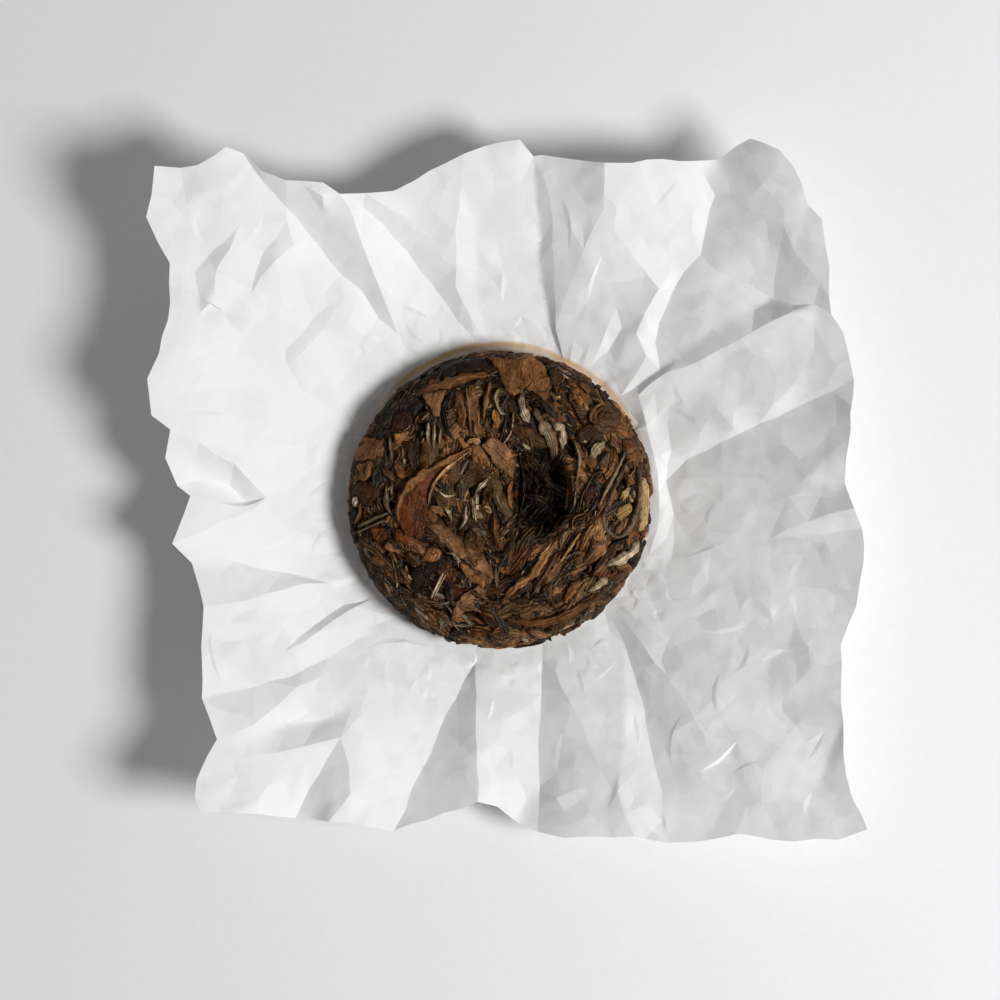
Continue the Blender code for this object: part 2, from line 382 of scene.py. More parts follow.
@dataclass(frozen=True)
class LeafFinish:
    """Finish of the pressed leaves of one kind. Each leaf's colour, with its painted shade and ridge
    highlights, rides on its mesh.
    """

    name: str
    roughness: float
    streak: float
    relief_mm: float
    vein: float = 0.0
    down_and_glint: float = 0.0
    mottle: float = 0.34
    crinkle_mm: float = 0.6
    crack: float = 0.0
    specular: float = 0.15
    hair_and_glint: Colour = srgb(212, 204, 180)

    def build(self) -> Material:
        """Makes the material.

        Returns:
            The material.
        """
        bench = NodeBench(self.name)
        tint = bench.node("Attribute", attribute_name="tint").outputs["Color"]
        grain = bench.node("Attribute", attribute_name="grain").outputs["Vector"]
        streaks = bench.noise(bench.stretch(grain, (0.22, 2.6, 1.0)), 1.0, 4.0, 0.62)
        mottle = bench.noise(bench.stretch(grain, (0.9, 0.9, 1.0)), 0.6, 4.0, 0.6)
        shade = bench.spread(streaks, 0.28, 0.72, 1.0 - self.streak, 1.0 + self.streak)
        spots = bench.spread(mottle, 0.3, 0.7, 1.0 - self.mottle, 1.0 + 0.8 * self.mottle)
        crinkle = bench.noise(bench.stretch(grain, (0.7, 1.3, 1.0)), 1.0, 3.0, 0.55)
        # Painted shade and highlight: the colour follows the crinkle bump, darker in its hollows and lighter
        # on its crests.
        folds = bench.spread(crinkle, 0.34, 0.64, 0.74, 1.26)
        strength = bench.times(bench.times(shade, spots), folds)
        if self.crack:
            wander = bench.noise(bench.stretch(grain, (0.08, 0.17, 1.0)), 1.0, 2.0, 0.5)
            off = bench.maths("ABSOLUTE", bench.minus(wander, 0.5))
            whole = bench.minus(1.0, bench.spread(off, 0.002, 0.018, self.crack, 0.0))
            strength = bench.times(strength, whole)
            bench.bump(whole, 0.35, 0.9)
        colour = bench.mix(1.0, tint, self.tinged(bench, strength), "MULTIPLY")
        if self.vein:
            colour = self.add_veins(bench, grain, colour)
        # Pale streaks: real down on the downy buds, and painted highlights on the dark and brown leaves.
        if self.down_and_glint:
            pale_streaks = bench.noise(bench.stretch(grain, (0.5, 7.0, 1.0)), 1.0, 2.0, 0.7)
            share = bench.spread(pale_streaks, 0.5, 0.66, 0.0, self.down_and_glint)
            colour = bench.mix(share, colour, self.hair_and_glint)
        rough = bench.spread(mottle, 0.3, 0.7, self.roughness - 0.12, self.roughness + 0.14)
        bench.finish(colour, rough, self.specular)
        bench.bump(crinkle, self.crinkle_mm, 0.9)
        bench.bump(streaks, self.relief_mm, 0.9)
        bench.bump(mottle, self.relief_mm * 1.3, 0.7)
        return bench.material

    @staticmethod
    def tinged(bench: NodeBench, strength: Socket) -> Socket:
        """Light and shade as a colour: dark parts are redder and light parts are paler."""
        powers = [bench.maths("POWER", strength, power) for power in (0.9, 1.05, 1.28)]
        return bench.combined("CombineColor", powers)

    def add_veins(self, bench: NodeBench, grain: Socket, colour: Socket) -> Socket:
        """A midrib and slanting side veins, in colour and relief.

        Args:
            bench: the material's bench.
            grain: each leaf's own coordinates: along, across and a number of its own.
            colour: the colour before veins.

        Returns:
            The colour with veins.
        """
        parts = bench.node("SeparateXYZ")
        bench.link(grain, parts.inputs[0])
        across = bench.maths("ABSOLUTE", parts.outputs[1])
        wander = bench.times(bench.noise(grain, 0.5, 2.0), 1.6)
        slant = bench.maths("ADD", bench.minus(parts.outputs[0], bench.times(across, 0.8)), wander)
        wave = bench.maths("ABSOLUTE", bench.maths("SINE", bench.times(slant, 1.25)))
        side = bench.spread(wave, 0.0, 0.22, 1.0, 0.0)
        midrib = bench.spread(across, 0.0, 0.32, 1.0, 0.0)
        share = bench.times(bench.maths("MAXIMUM", bench.times(side, 0.55), midrib), self.vein)
        bench.bump(share, 0.22, 0.8)
        lit = bench.mix(1.0, colour, (1.5, 1.35, 1.1), "MULTIPLY")
        return bench.mix(share, colour, lit)


@dataclass(frozen=True)
class FloorFinish:
    """A plain pale studio floor."""

    colour: Colour = (0.90, 0.90, 0.905)

    def build(self) -> Material:
        """Makes the material.

        Returns:
            The material.
        """
        bench = NodeBench("studio_floor")
        place = bench.node("TexCoord").outputs["Object"]
        shade = bench.spread(bench.noise(place, 300.0, 3.0), 0.3, 0.7, 0.985, 1.0)
        bench.finish(bench.mix(1.0, self.colour, bench.grey(shade), "MULTIPLY"), 0.9, 0.1)
        return bench.material


# ---- studio


@dataclass
class Studio:
    """The camera straight above, one soft lamp from the lower right, a faint fill and the floor."""

    view_width: float = 360.0
    lens: float = 150.0
    focus_height: float = 12.0
    lamp_azimuth: float = -18.0
    lamp_elevation: float = 47.0
    lamp_distance: float = 1700.0
    lamp_side: float = 640.0
    lamp_watts: float = 25.1
    fill: float = 0.22
    air: Colour = (1.0, 0.985, 0.975)
    floor_half: float = 4000.0
    floor_gap: float = 0.2

    def build(self) -> None:
        """Sets up the camera, the lights and the floor."""
        scene = bpy.context.scene
        scene.view_settings.view_transform = "Standard"
        camera_data = bpy.data.cameras.new("camera")
        camera_data.lens = self.lens
        camera_data.clip_end = 50.0
        camera = in_scene("camera", camera_data)
        away = self.view_width * self.lens / camera_data.sensor_width
        camera.location = (0.0, 0.0, (away + self.focus_height) * MM)
        scene.camera = camera
        self.add_lamp()
        world = bpy.data.worlds.new("studio_air")
        world.use_nodes = True
        sky = world.node_tree.nodes["Background"].inputs
        sky[0].default_value, sky[1].default_value = (*self.air, 1.0), self.fill
        scene.world = world
        self.add_floor()

    def add_lamp(self) -> None:
        """Adds the soft lamp, aimed at the part."""
        azimuth, elevation = radians(self.lamp_azimuth), radians(self.lamp_elevation)
        flat = cos(elevation)
        toward = Vector((cos(azimuth) * flat, sin(azimuth) * flat, sin(elevation)))
        data = bpy.data.lights.new("soft_lamp", "AREA")
        data.shape = "DISK"
        data.size = self.lamp_side * MM
        data.energy = self.lamp_watts
        lamp = in_scene("soft_lamp", data)
        lamp.location = toward * self.lamp_distance * MM
        lamp.rotation_euler = toward.to_track_quat("Z", "Y").to_euler()

    def add_floor(self) -> None:
        """Adds the floor, just under the part's lowest level."""
        low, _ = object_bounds()
        mesh = bpy.data.meshes.new("floor")
        half, level = self.floor_half * MM, float(low[2]) - self.floor_gap * MM
        corners = [(x * half, y * half, level) for x, y in ((-1, -1), (1, -1), (1, 1), (-1, 1))]
        mesh.from_pydata(corners, [], [(0, 1, 2, 3)])
        mesh.materials.append(FloorFinish().build())
        floor = in_scene("floor", mesh)
        floor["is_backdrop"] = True


# ---- wrapper


OUTLINE: tuple[FoldPoint, ...] = (
    (-122, 118, 0), (-113, 117.5, -1), (-107, 118.5, 0), (-101, 122, 1), (-97, 125, 2), (-91, 123, -1),
    (-85, 117, 1), (-76, 113.5, 3), (-63, 113, 3), (-57, 109, 4), (-48, 109.5, 2), (-38, 110.5, 0),
    (-30, 114.5, 1), (-20, 120, 2), (-13, 123.5, 3), (-5, 126.5, 2), (7, 128.5, 4), (12, 123, -1),
    (15, 123.5, -1), (30, 121, 5), (37, 120, 10), (47, 120, 8), (58, 121.5, 5), (70, 121, 0),
    (78, 121.5, -4), (84, 126, -1), (89, 128.5, 2), (94, 126.5, 5), (99, 124, 7), (104, 118, 8),
    (107, 112, 8), (109, 105, 7), (114, 99.5, 8), (115.5, 90, 7), (117, 83, 6), (117, 72, 5),
    (118, 66, 3), (122, 60, 4), (124, 52, 4), (126, 43, 4), (125, 25, 3), (123.5, 15, 2), (123, 6, 1),
    (126, -3, 5.5), (129, -10, 1.5), (129.5, -22, 3), (128, -30, 3), (127, -38, 1), (124, -45, 0),
    (121.5, -52, 0.3), (121.5, -65, 1.5), (122, -78, 3), (122, -90, 2), (123, -98, 1), (125, -106, 2),
    (130, -116.5, 3), (120, -120.5, 1), (97, -121, -1), (85, -119, -2), (70, -122, -2), (60, -122.5, -2),
    (52, -121, -0.5), (48, -120, 1.5), (40, -120.5, 1), (23, -121, -1), (13.5, -119, -5),
    (6.5, -116.2, -6), (-1, -110, -1), (-8, -108, 5), (-20, -112, 0), (-38, -118.5, -6),
    (-48, -116.5, -1), (-61, -114.5, 1), (-66, -114, -3.5), (-73, -113.5, -6), (-86, -111.5, 0),
    (-95, -111, 2), (-106, -111, 3), (-108, -105, 2), (-107.5, -99, 1), (-104, -91, 0), (-100.5, -85, 1),
    (-103, -78, 0), (-106, -70.5, -2), (-106, -58, -0.5), (-106, -47, 0), (-105.5, -38, 2),
    (-107, -32, 0), (-110, -22.5, -4), (-116.5, -15.5, 1), (-113, -6, -1), (-110.5, 1.5, -3),
    (-115, 5, -4), (-119, 15, -1), (-117, 25, 3), (-123.5, 30, 2), (-125, 43, 1), (-121, 52, -1),
    (-117, 70, -1), (-117, 84, 0), (-121, 91, 0), (-125, 100, 1), (-123, 108, 1),
)

# Each fold: how sharp it is, then its points. A point that an earlier line has given needs no lift.
FOLDS: dict[str, tuple[float, tuple[tuple[float, ...], ...]]] = {
    # upper left
    "left_gather_valley": (1.0, ((-91, 123), (-83, 112, -2), (-76, 104, -3), (-72, 100, -4), (-64, 90, -4),
        (-57, 81, -3.5), (-50, 76, -3), (-44, 66, -2), (-37, 60, -1))),
    "left_gather_ridge": (1.0, ((-57, 109), (-53, 103, 5), (-50, 93, 5), (-44, 78, 3), (-40, 68, 1.5),
        (-37, 60))),
    "kite_top": (0.8, ((-72, 100), (-63, 101, 0.5), (-53, 103))),
    "kite_tie": (0.8, ((-76, 113.5), (-76, 104))),
    "kite_pinch": (1.0, ((-70, 112, 3.5), (-63, 108, 5.5), (-62.5, 103, 2.5))),
    "kite_pinch_foot": (0.8, ((-70, 112), (-65.5, 106, 1.6), (-62.5, 103))),
    "second_valley": (1.0, ((-48, 109.5), (-49, 105, 0.5), (-42, 99, -1), (-33, 89, -3.2), (-20, 72, -2.8),
        (-9, 58, -1))),
    "second_ridge": (0.9, ((-14, 112, 2), (-16, 97, 3), (-16, 77, 2), (-11, 67, 0.5), (-9, 58))),
    "second_brow": (0.8, ((-42, 99), (-34, 99, 0.8), (-24, 94, 0.6), (-16, 97))),
    "second_lip": (0.8, ((-48, 109.5), (-40, 104, 2.6), (-30, 100, 1), (-24, 94))),
    "top_soft_bend": (0.4, ((-2, 110, 0), (-8.5, 100, -0.4), (-8.5, 78, -0.7), (-6, 64, -0.8))),
    "top_cheek": (0.5, ((-13, 123.5), (-14, 112), (-2, 110), (7, 112, -0.5), (12, 123))),
    "mast_foot": (0.2, ((7, 112), (8.5, 96, -1.4), (9, 80, -1.5), (12, 66, -1.2))),
    "mast_valley": (0.35, ((12, 123), (14, 100, -2.2), (15, 80, -2.4), (18, 64, -2), (20.6, 56, -1),
        (23, 50.5, 0.5))),
    "mast_ridge": (1.0, ((15, 117, 0.5), (19, 100, 1.5), (19.5, 76, 1.5), (20, 62, 1), (23, 50.5))),
    "leaf_dent_a": (1.0, ((-76, 100, -1.5), (-73.5, 91, 1), (-80, 85.5, 2), (-89, 73, 0))),
    "leaf_dent_b": (0.8, ((-76, 100), (-84.5, 88, -1.8), (-89, 73))),
    "leaf_dent_tie": (0.8, ((-76, 104), (-76, 100))),
    "s_wrinkle_a": (0.6, ((-93, 97, 0), (-101.5, 89, -1), (-108.5, 81, -1.6), (-107, 73, -1), (-98, 67, 0))),
    "s_wrinkle_b": (0.9, ((-93, 97), (-96, 89, 1.4), (-101, 82.5, 1.6), (-101.5, 75, 1.2), (-98, 67))),
    "s_tail": (0.8, ((-98, 67), (-90, 64.5, 1.4), (-83, 62, 0))),
    "corner_tab": (0.9, ((-113, 117.5), (-112, 112, -1.8), (-111, 104, 0))),
    "left_knot": (0.9, ((-107, 66, -1.5), (-103, 70, 1.6), (-98, 67), (-95, 60, -1.2))),
    "patch_brow": (0.6, ((-56, 73, -1), (-67, 65.5, -1.6), (-77, 54, -1.2), (-77, 49, -0.5), (-71, 39, -1))),
    "patch_lip": (0.9, ((-56, 73), (-63.5, 61.5, 1), (-73, 51, 1), (-71, 39))),
    "patch_hook": (0.9, ((-71, 39), (-60, 38, 0), (-54, 47, -1.2))),
    "patch_ray": (0.8, ((-52, 70, 0), (-55, 63, 1.6), (-54.5, 58, 0))),
    "side_level": (0.4, ((-110, 39, 0), (-92, 39, -0.6), (-71, 39), (-58, 34, 0))),
    "tuck_ridge": (1.0, ((-117, 25), (-107, 20.5, 4), (-95, 13, 4), (-84, 1, 0.5))),
    "tuck_hollow": (1.0, ((-115, 5), (-107, 8, -6.5), (-97, 5, -7), (-91, -1, -5), (-84, 1))),
    "tuck_flap": (1.0, ((-110.5, 1.5), (-100, -1, -1), (-91, -3, -1), (-84, 1))),
    "flap_ray": (0.5, ((-116.5, -15.5), (-100, -8, 0.5), (-90, -4, 0))),
    "left_spoke": (0.4, ((-107, 20.5), (-90, 15, 1), (-70, 10, 0))),
    # upper right
    "slip_ridge": (0.9, ((37, 104, 7.5), (30, 90, 6), (25, 77, 4.2), (21, 65, 1.5))),
    "crown_dark": (0.7, ((15, 117), (26, 113, 3.5), (37, 109, 9))),
    "plate_left": (1.0, ((37, 120), (37, 109), (37, 104))),
    "plate_foot": (1.0, ((37, 109), (51, 97, 3.5), (61, 88, -0.5), (62.5, 82, -1))),
    "plate_shade": (0.6, ((37, 104), (46, 90, 5.5), (57, 76, 3.5))),
    "plate_right": (1.0, ((70, 121), (77, 109, -4.5), (74, 98, -5.5), (72, 88, -4.5))),
    "plate_fold": (0.4, ((70, 121), (66, 108, 0), (62, 98, -0.5))),
    "strip_left": (1.0, ((62.5, 82), (57, 76), (52, 67, 4.5), (49, 60, 4.5), (53, 52, 3), (58, 47, 0.5))),
    "strip_right": (1.0, ((72, 88), (66, 82, -3), (62, 75, -1), (57.5, 64, 0), (56, 57, 0.3), (58, 47))),
    "right_shoulder": (0.9, ((72, 88), (78, 82, -2), (90, 77, -3), (98, 72, -4), (105, 69.5, -1))),
    "ledge_ridge": (1.0, ((50, 38, 3), (60, 46, 4), (72, 50, 4.5), (90, 60, 5), (104, 67, 5))),
    "ledge_shade": (0.3, ((58, 47), (70, 56, 1.6), (84, 66, 1.4), (98, 72))),
    "apron_crease": (0.9, ((33, 49, 0.3), (36.5, 56, 3.0), (42, 69, 3.2))),
    "apron_drop": (0.8, ((33, 49), (39.5, 54.5, 0.2), (44, 62, 1.6), (42, 69))),
    "apron_crest": (0.9, ((43.5, 37.5, 0.3), (48.5, 44.5, 3.4), (53, 52))),
    "apron_slot": (0.9, ((43.5, 37.5), (50, 41.5, -0.2), (58, 47))),
    "mid_bend": (0.4, ((78, 82), (73, 70, 1.5), (70, 56))),
    "corner_line_a": (1.0, ((93, 112, 6), (101, 103, 6.5), (101, 97, 5), (105, 88, 4.5), (110, 82, 5),
        (117, 72))),
    "corner_line_b": (0.7, ((77, 109), (88, 103, 0.5), (101, 97))),
    "corner_fan": (0.7, ((98, 72), (99, 84, -0.5), (101, 97))),
    "junction": (1.0, ((104, 67), (112, 62, 3), (112, 53, 2), (124, 52))),
    "junction_b": (0.9, ((105, 69.5), (112, 70, 1), (118, 66))),
    "curl": (0.6, ((74, 45, 2), (75, 37, 1.5), (79, 32, 1), (84, 26, 0))),
    "curl_face": (0.4, ((74, 45), (86, 40, 0.5), (98, 34, 0))),
    "right_valley": (0.9, ((60, 7, -1), (68, 15, -3), (80, 21, -4.2), (100, 30, -4.8), (112, 36, -3),
        (126, 43))),
    "right_level": (0.5, ((60, 7), (80, 8.5, 0), (100, 7, 0.5), (123, 6))),
    "foot_ridge_right": (0.5, ((50, 38), (53, 27, 3.5), (56, 15, 3), (57.5, 3, 2.5), (57, -10, 2),
        (54, -20, 2))),
    "foot_valley_right": (0.5, ((60, 30, 0), (62, 18, -0.5), (60, 7), (63, -5, -0.5), (63, -15, -0.5))),
    # lower right
    "shelf_top": (0.8, ((97, -14, 0), (110, -8, 2.5), (126, -3))),
    "shelf_edge": (0.9, ((97, -14), (108, -12.5, 0.5), (129, -10))),
    "shelf_under": (0.6, ((108, -12.5), (109, -20, 0), (128, -30))),
    "post": (0.5, ((97, -14), (97, -30, 1), (97, -40, 0.5))),
    "wide_dent": (0.6, ((91, -40, -1), (105, -46, -1.6), (124, -45))),
    "slant": (0.7, ((100, -71, 0), (111, -60, 0.8), (121.5, -52))),
    "rim_roll": (0.4, ((122, -78), (117, -90, -1), (114, -101, -1.5), (125, -106))),
    "sweep_valley": (0.7, ((38, -40, 0), (45, -52, -1.4), (50, -68, -1.8), (54, -88, -2.2), (58, -104, -2.6),
        (60, -122.5))),
    "sweep_ridge": (0.4, ((45, -52), (45, -68, 0), (45, -86, 1), (42, -104, 2.4), (48, -120))),
    "thin_ridge": (1.0, ((44, -42, 1), (52, -53, 1.6), (60, -63, 2), (67, -73, 2.4), (73, -84, 2.6))),
    "star_level": (0.8, ((73, -84), (80, -81, 1), (90, -80, 0))),
    "star": (1.0, ((72, -97, 0), (79, -92, 1.5), (85, -86, 0.8))),
    "spike": (0.7, ((72, -97), (77.5, -94.5, -0.8), (85, -86))),
    "wing": (0.5, ((62, -22, 0.5), (70, -29, 1), (66, -42, 1), (58, -58, 0.5))),
    "wing_b": (0.5, ((70, -29), (76, -20, 0.5), (75, -30, 0))),
    "hip": (0.9, ((20, -62, 2), (26, -74, 1.5), (32, -88, 1), (40, -104, 1))),
    "hip_toe": (0.9, ((40, -104), (42, -104))),
    "toe": (0.9, ((42, -104), (44, -112, 2.2), (48, -120))),
    "toe_right": (0.5, ((42, -104), (50, -96, 0), (58, -104))),
    "cuff": (0.7, ((20, -107, 0), (27, -104, 0.5), (40, -104))),
    "lip": (0.8, ((52, -121), (58, -115, -3), (66, -114, -3), (76, -117, -3.5), (85, -119))),
    "corner_star": (0.6, ((91, -111, 0), (97, -106, 1), (97, -121))),
    "slot_valley": (1.0, ((15.5, -52, 0), (15, -70, -3), (14, -95, -5), (13.5, -119))),
    # lower left
    "mid_ridge": (1.0, ((-9, -55, 0), (-8.5, -70, 3), (-8.3, -90, 4.5), (-8, -108))),
    "mid_tie_a": (0.8, ((-5, -67, 2), (3, -68.5, 0), (15, -70))),
    "mid_tie_b": (0.8, ((0, -80, 1.5), (8, -76, -1), (15, -70))),
    "great_fold": (1.0, ((-9, -59, 0), (-20, -78, -3.6), (-28, -97, -6), (-38, -118.5))),
    "great_belly": (0.3, ((-40, -58, 0), (-38, -80, 0), (-42, -100, -1), (-48, -116.5))),
    "brow_ridge": (0.8, ((-41, -58, 0.5), (-46, -66, 1), (-53, -75, 2), (-57, -85, 4))),
    "tent_ridge": (1.0, ((-57, -85), (-54, -95, 3.5), (-53.5, -105, 4), (-61, -114.5))),
    "tent_valley": (1.0, ((-57, -85), (-62, -93, -0.5), (-68, -103, -4), (-73, -113.5))),
    "tent_left": (0.9, ((-92, -92, 1), (-80, -90, 1.5), (-70, -88, 2.5), (-57, -85))),
    "nick_a": (0.9, ((-96, -95, 0), (-93, -98, 0.5))),
    "nick_b": (0.8, ((-98, -99, 1.2), (-97, -108, 0.5))),
    "nick_c": (0.8, ((-82, -101, 0.5), (-86, -106, 1), (-86, -111.5))),
    "shelf_left": (0.9, ((-100.5, -85), (-88, -80, 2.5), (-80, -74, 2.5), (-73, -67, 2), (-65, -64, 1))),
    "shadow_left": (0.4, ((-88, -84, 1), (-76, -80, -1), (-66, -80, -2), (-53, -75))),
    "fan_valley": (0.8, ((-106, -70.5), (-90, -67.5, -1.4), (-75, -63.5, -1), (-62, -57, -0.8),
        (-48, -48, 0))),
    "deep_line": (1.0, ((-77, -54, 0), (-65, -47, 1.8), (-55, -40, 2), (-45, -35, 0))),
    "deep_lip": (0.7, ((-77, -54), (-66.5, -45, -1.2), (-56.5, -38, -1.4), (-45, -35))),
    "diamond": (0.6, ((-75, -41, 0), (-81, -51, 0.5), (-75, -63.5))),
    "wing_ridge": (0.9, ((-105.5, -38), (-91, -36, 2.5), (-71, -30, 1.5), (-62, -30, 0))),
    "wing_valley": (0.9, ((-116.5, -15.5), (-95, -22, -3), (-78, -26, -3), (-68, -28.5, -2), (-58, -31, -1),
        (-51, -29.5, 0))),
    "foot_line_left": (0.5, ((-52, -38, 1), (-36, -43, 1.5), (-24, -51, 1.5), (-9, -59))),
    "foot_nick_a": (1.0, ((-63, -28, 0), (-57, -29, 1.6), (-49, -25, 0))),
    "foot_nick_b": (1.0, ((-45, -45, 0), (-38, -42.5, 1.4), (-32, -43, 0))),
}


@dataclass(frozen=True)
class Dish:
    """The smooth form under the folds: flat in the middle, rising all round, easing at the corners."""

    flat_radius: float = 48.0
    foot_radius: float = 66.0
    slope: float = 0.38
    lean: float = 0.07
    oval: float = 0.05
    ease_radius: float = 125.0
    corner_slope: float = 0.25

    def height(self, x: float, y: float) -> float:
        """Height of the dish.

        Args:
            x: the place.
            y: the place.

        Returns:
            The height there.
        """
        away = hypot(x, y)
        turn = atan2(y, x)
        slope = self.slope - self.lean * cos(turn) + self.oval * cos(2 * turn)
        foot = min(max(away - self.flat_radius, 0.0), self.foot_radius - self.flat_radius)
        curved = slope * foot**2 / (2 * (self.foot_radius - self.flat_radius))
        side = slope * max(0.0, min(away, self.ease_radius) - self.foot_radius)
        return curved + side + self.corner_slope * max(0.0, away - self.ease_radius)


class CreaseNet:
    """Points and edges of a folded sheet, each point known by its place."""

    def __init__(self) -> None:
        """Starts an empty net."""
        self.points: list[Vector] = []
        self.heights: list[float] = []
        self.edges: list[tuple[int, int]] = []
        self.sharp: list[float] = []
        self.known: dict[tuple[int, int], int] = {}

    def add(self, x: float, y: float, height: float) -> int:
        """Adds a point, or finds the one that is already there.

        Args:
            x: its place.
            y: its place.
            height: its height, unless the point is there already.

        Returns:
            Its number.
        """
        key = (round(x * 20), round(y * 20))
        if key not in self.known:
            self.known[key] = len(self.points)
            self.points.append(Vector((x, y)))
            self.heights.append(height)
        return self.known[key]

    def join(self, first: int, second: int, sharp: float) -> None:
        """Adds an edge between two points.

        Args:
            first: one end.
            second: the other end.
            sharp: how sharply the sheet is creased there.
        """
        if first != second:
            self.edges.append((first, second))
            self.sharp.append(sharp)

    def clear_of(self, place: Vector, distance: float) -> bool:
        """Whether a place is clear of the net's edges.

        Args:
            place: the place.
            distance: how far off they have to be.

        Returns:
            True where none is nearer.
        """
        for first, second in self.edges:
            start, along = self.points[first], self.points[second] - self.points[first]
            share = max(0.0, min(1.0, (place - start).dot(along) / max(along.length_squared, 1e-9)))
            if (start + along * share - place).length < distance:
                return False
        return True

    def triangulate(self, ring: Sequence[int]) -> Folded:
        """Fills the net with triangles that keep its edges.

        Args:
            ring: the outer edge's points, in order.

        Returns:
            The places and heights, the triangles, and the sharpness of each creased edge.
        """
        found = delaunay_2d_cdt(self.points, self.edges, [list(ring)], 1, 1e-4)
        places, out_edges, faces, from_points, from_edges = found[:5]
        heights = []
        for place, source in zip(places, from_points):
            heights.append(self.heights[source[0]] if source else self.along_edges(place))
        sharp = {}
        for (first, second), sources in zip(out_edges, from_edges):
            known = [self.sharp[source] for source in sources if source < len(self.sharp)]
            if known:
                sharp[min(first, second), max(first, second)] = max(known)
        solid = np.array([(*place, height) for place, height in zip(places, heights)])
        return solid, np.array([list(face) for face in faces], dtype=int), sharp

    def along_edges(self, place: Vector) -> float:
        """Height of a place where two creases cross.

        Args:
            place: the place.

        Returns:
            The height there along the nearer crease.
        """
        best, height = inf, 0.0
        for first, second in self.edges:
            start, along = self.points[first], self.points[second] - self.points[first]
            share = (place - start).dot(along) / along.length_squared
            if -0.01 <= share <= 1.01 and (start + along * share - place).length < best:
                best = (start + along * share - place).length
                height = (1 - share) * self.heights[first] + share * self.heights[second]
        return height


def inside(outline: Sequence[Sequence[float]], x: float, y: float) -> bool:
    """Whether a place lies inside a closed outline.

    Args:
        outline: its points.
        x: the place.
        y: the place.

    Returns:
        True inside it.
    """
    within = False
    for (ax, ay, *_), (bx, by, *_) in zip(outline, [*outline[1:], outline[0]]):
        if (ay > y) != (by > y) and x < ax + (y - ay) * (bx - ax) / (by - ay):
            within = not within
    return within


def height_on(solid: Array, triangles: Array, x: float, y: float) -> float:
    """Height of a triangulated surface at a place.

    Args:
        solid: the surface's points.
        triangles: its triangles.
        x: the place.
        y: the place.

    Returns:
        The height, from the triangle that the place is in, or nearest to being in.
    """
    a, b, c = (solid[triangles[:, k]] for k in range(3))
    area = (b[:, 0] - a[:, 0]) * (c[:, 1] - a[:, 1]) - (c[:, 0] - a[:, 0]) * (b[:, 1] - a[:, 1])
    area = np.where(np.abs(area) < 1e-9, 1e-9, area)
    u = ((x - a[:, 0]) * (c[:, 1] - a[:, 1]) - (c[:, 0] - a[:, 0]) * (y - a[:, 1])) / area
    v = ((b[:, 0] - a[:, 0]) * (y - a[:, 1]) - (x - a[:, 0]) * (b[:, 1] - a[:, 1])) / area
    best = int(np.argmax(np.minimum(np.minimum(u, v), 1 - u - v)))
    return float(a[best, 2] + u[best] * (b[best, 2] - a[best, 2]) + v[best] * (c[best, 2] - a[best, 2]))


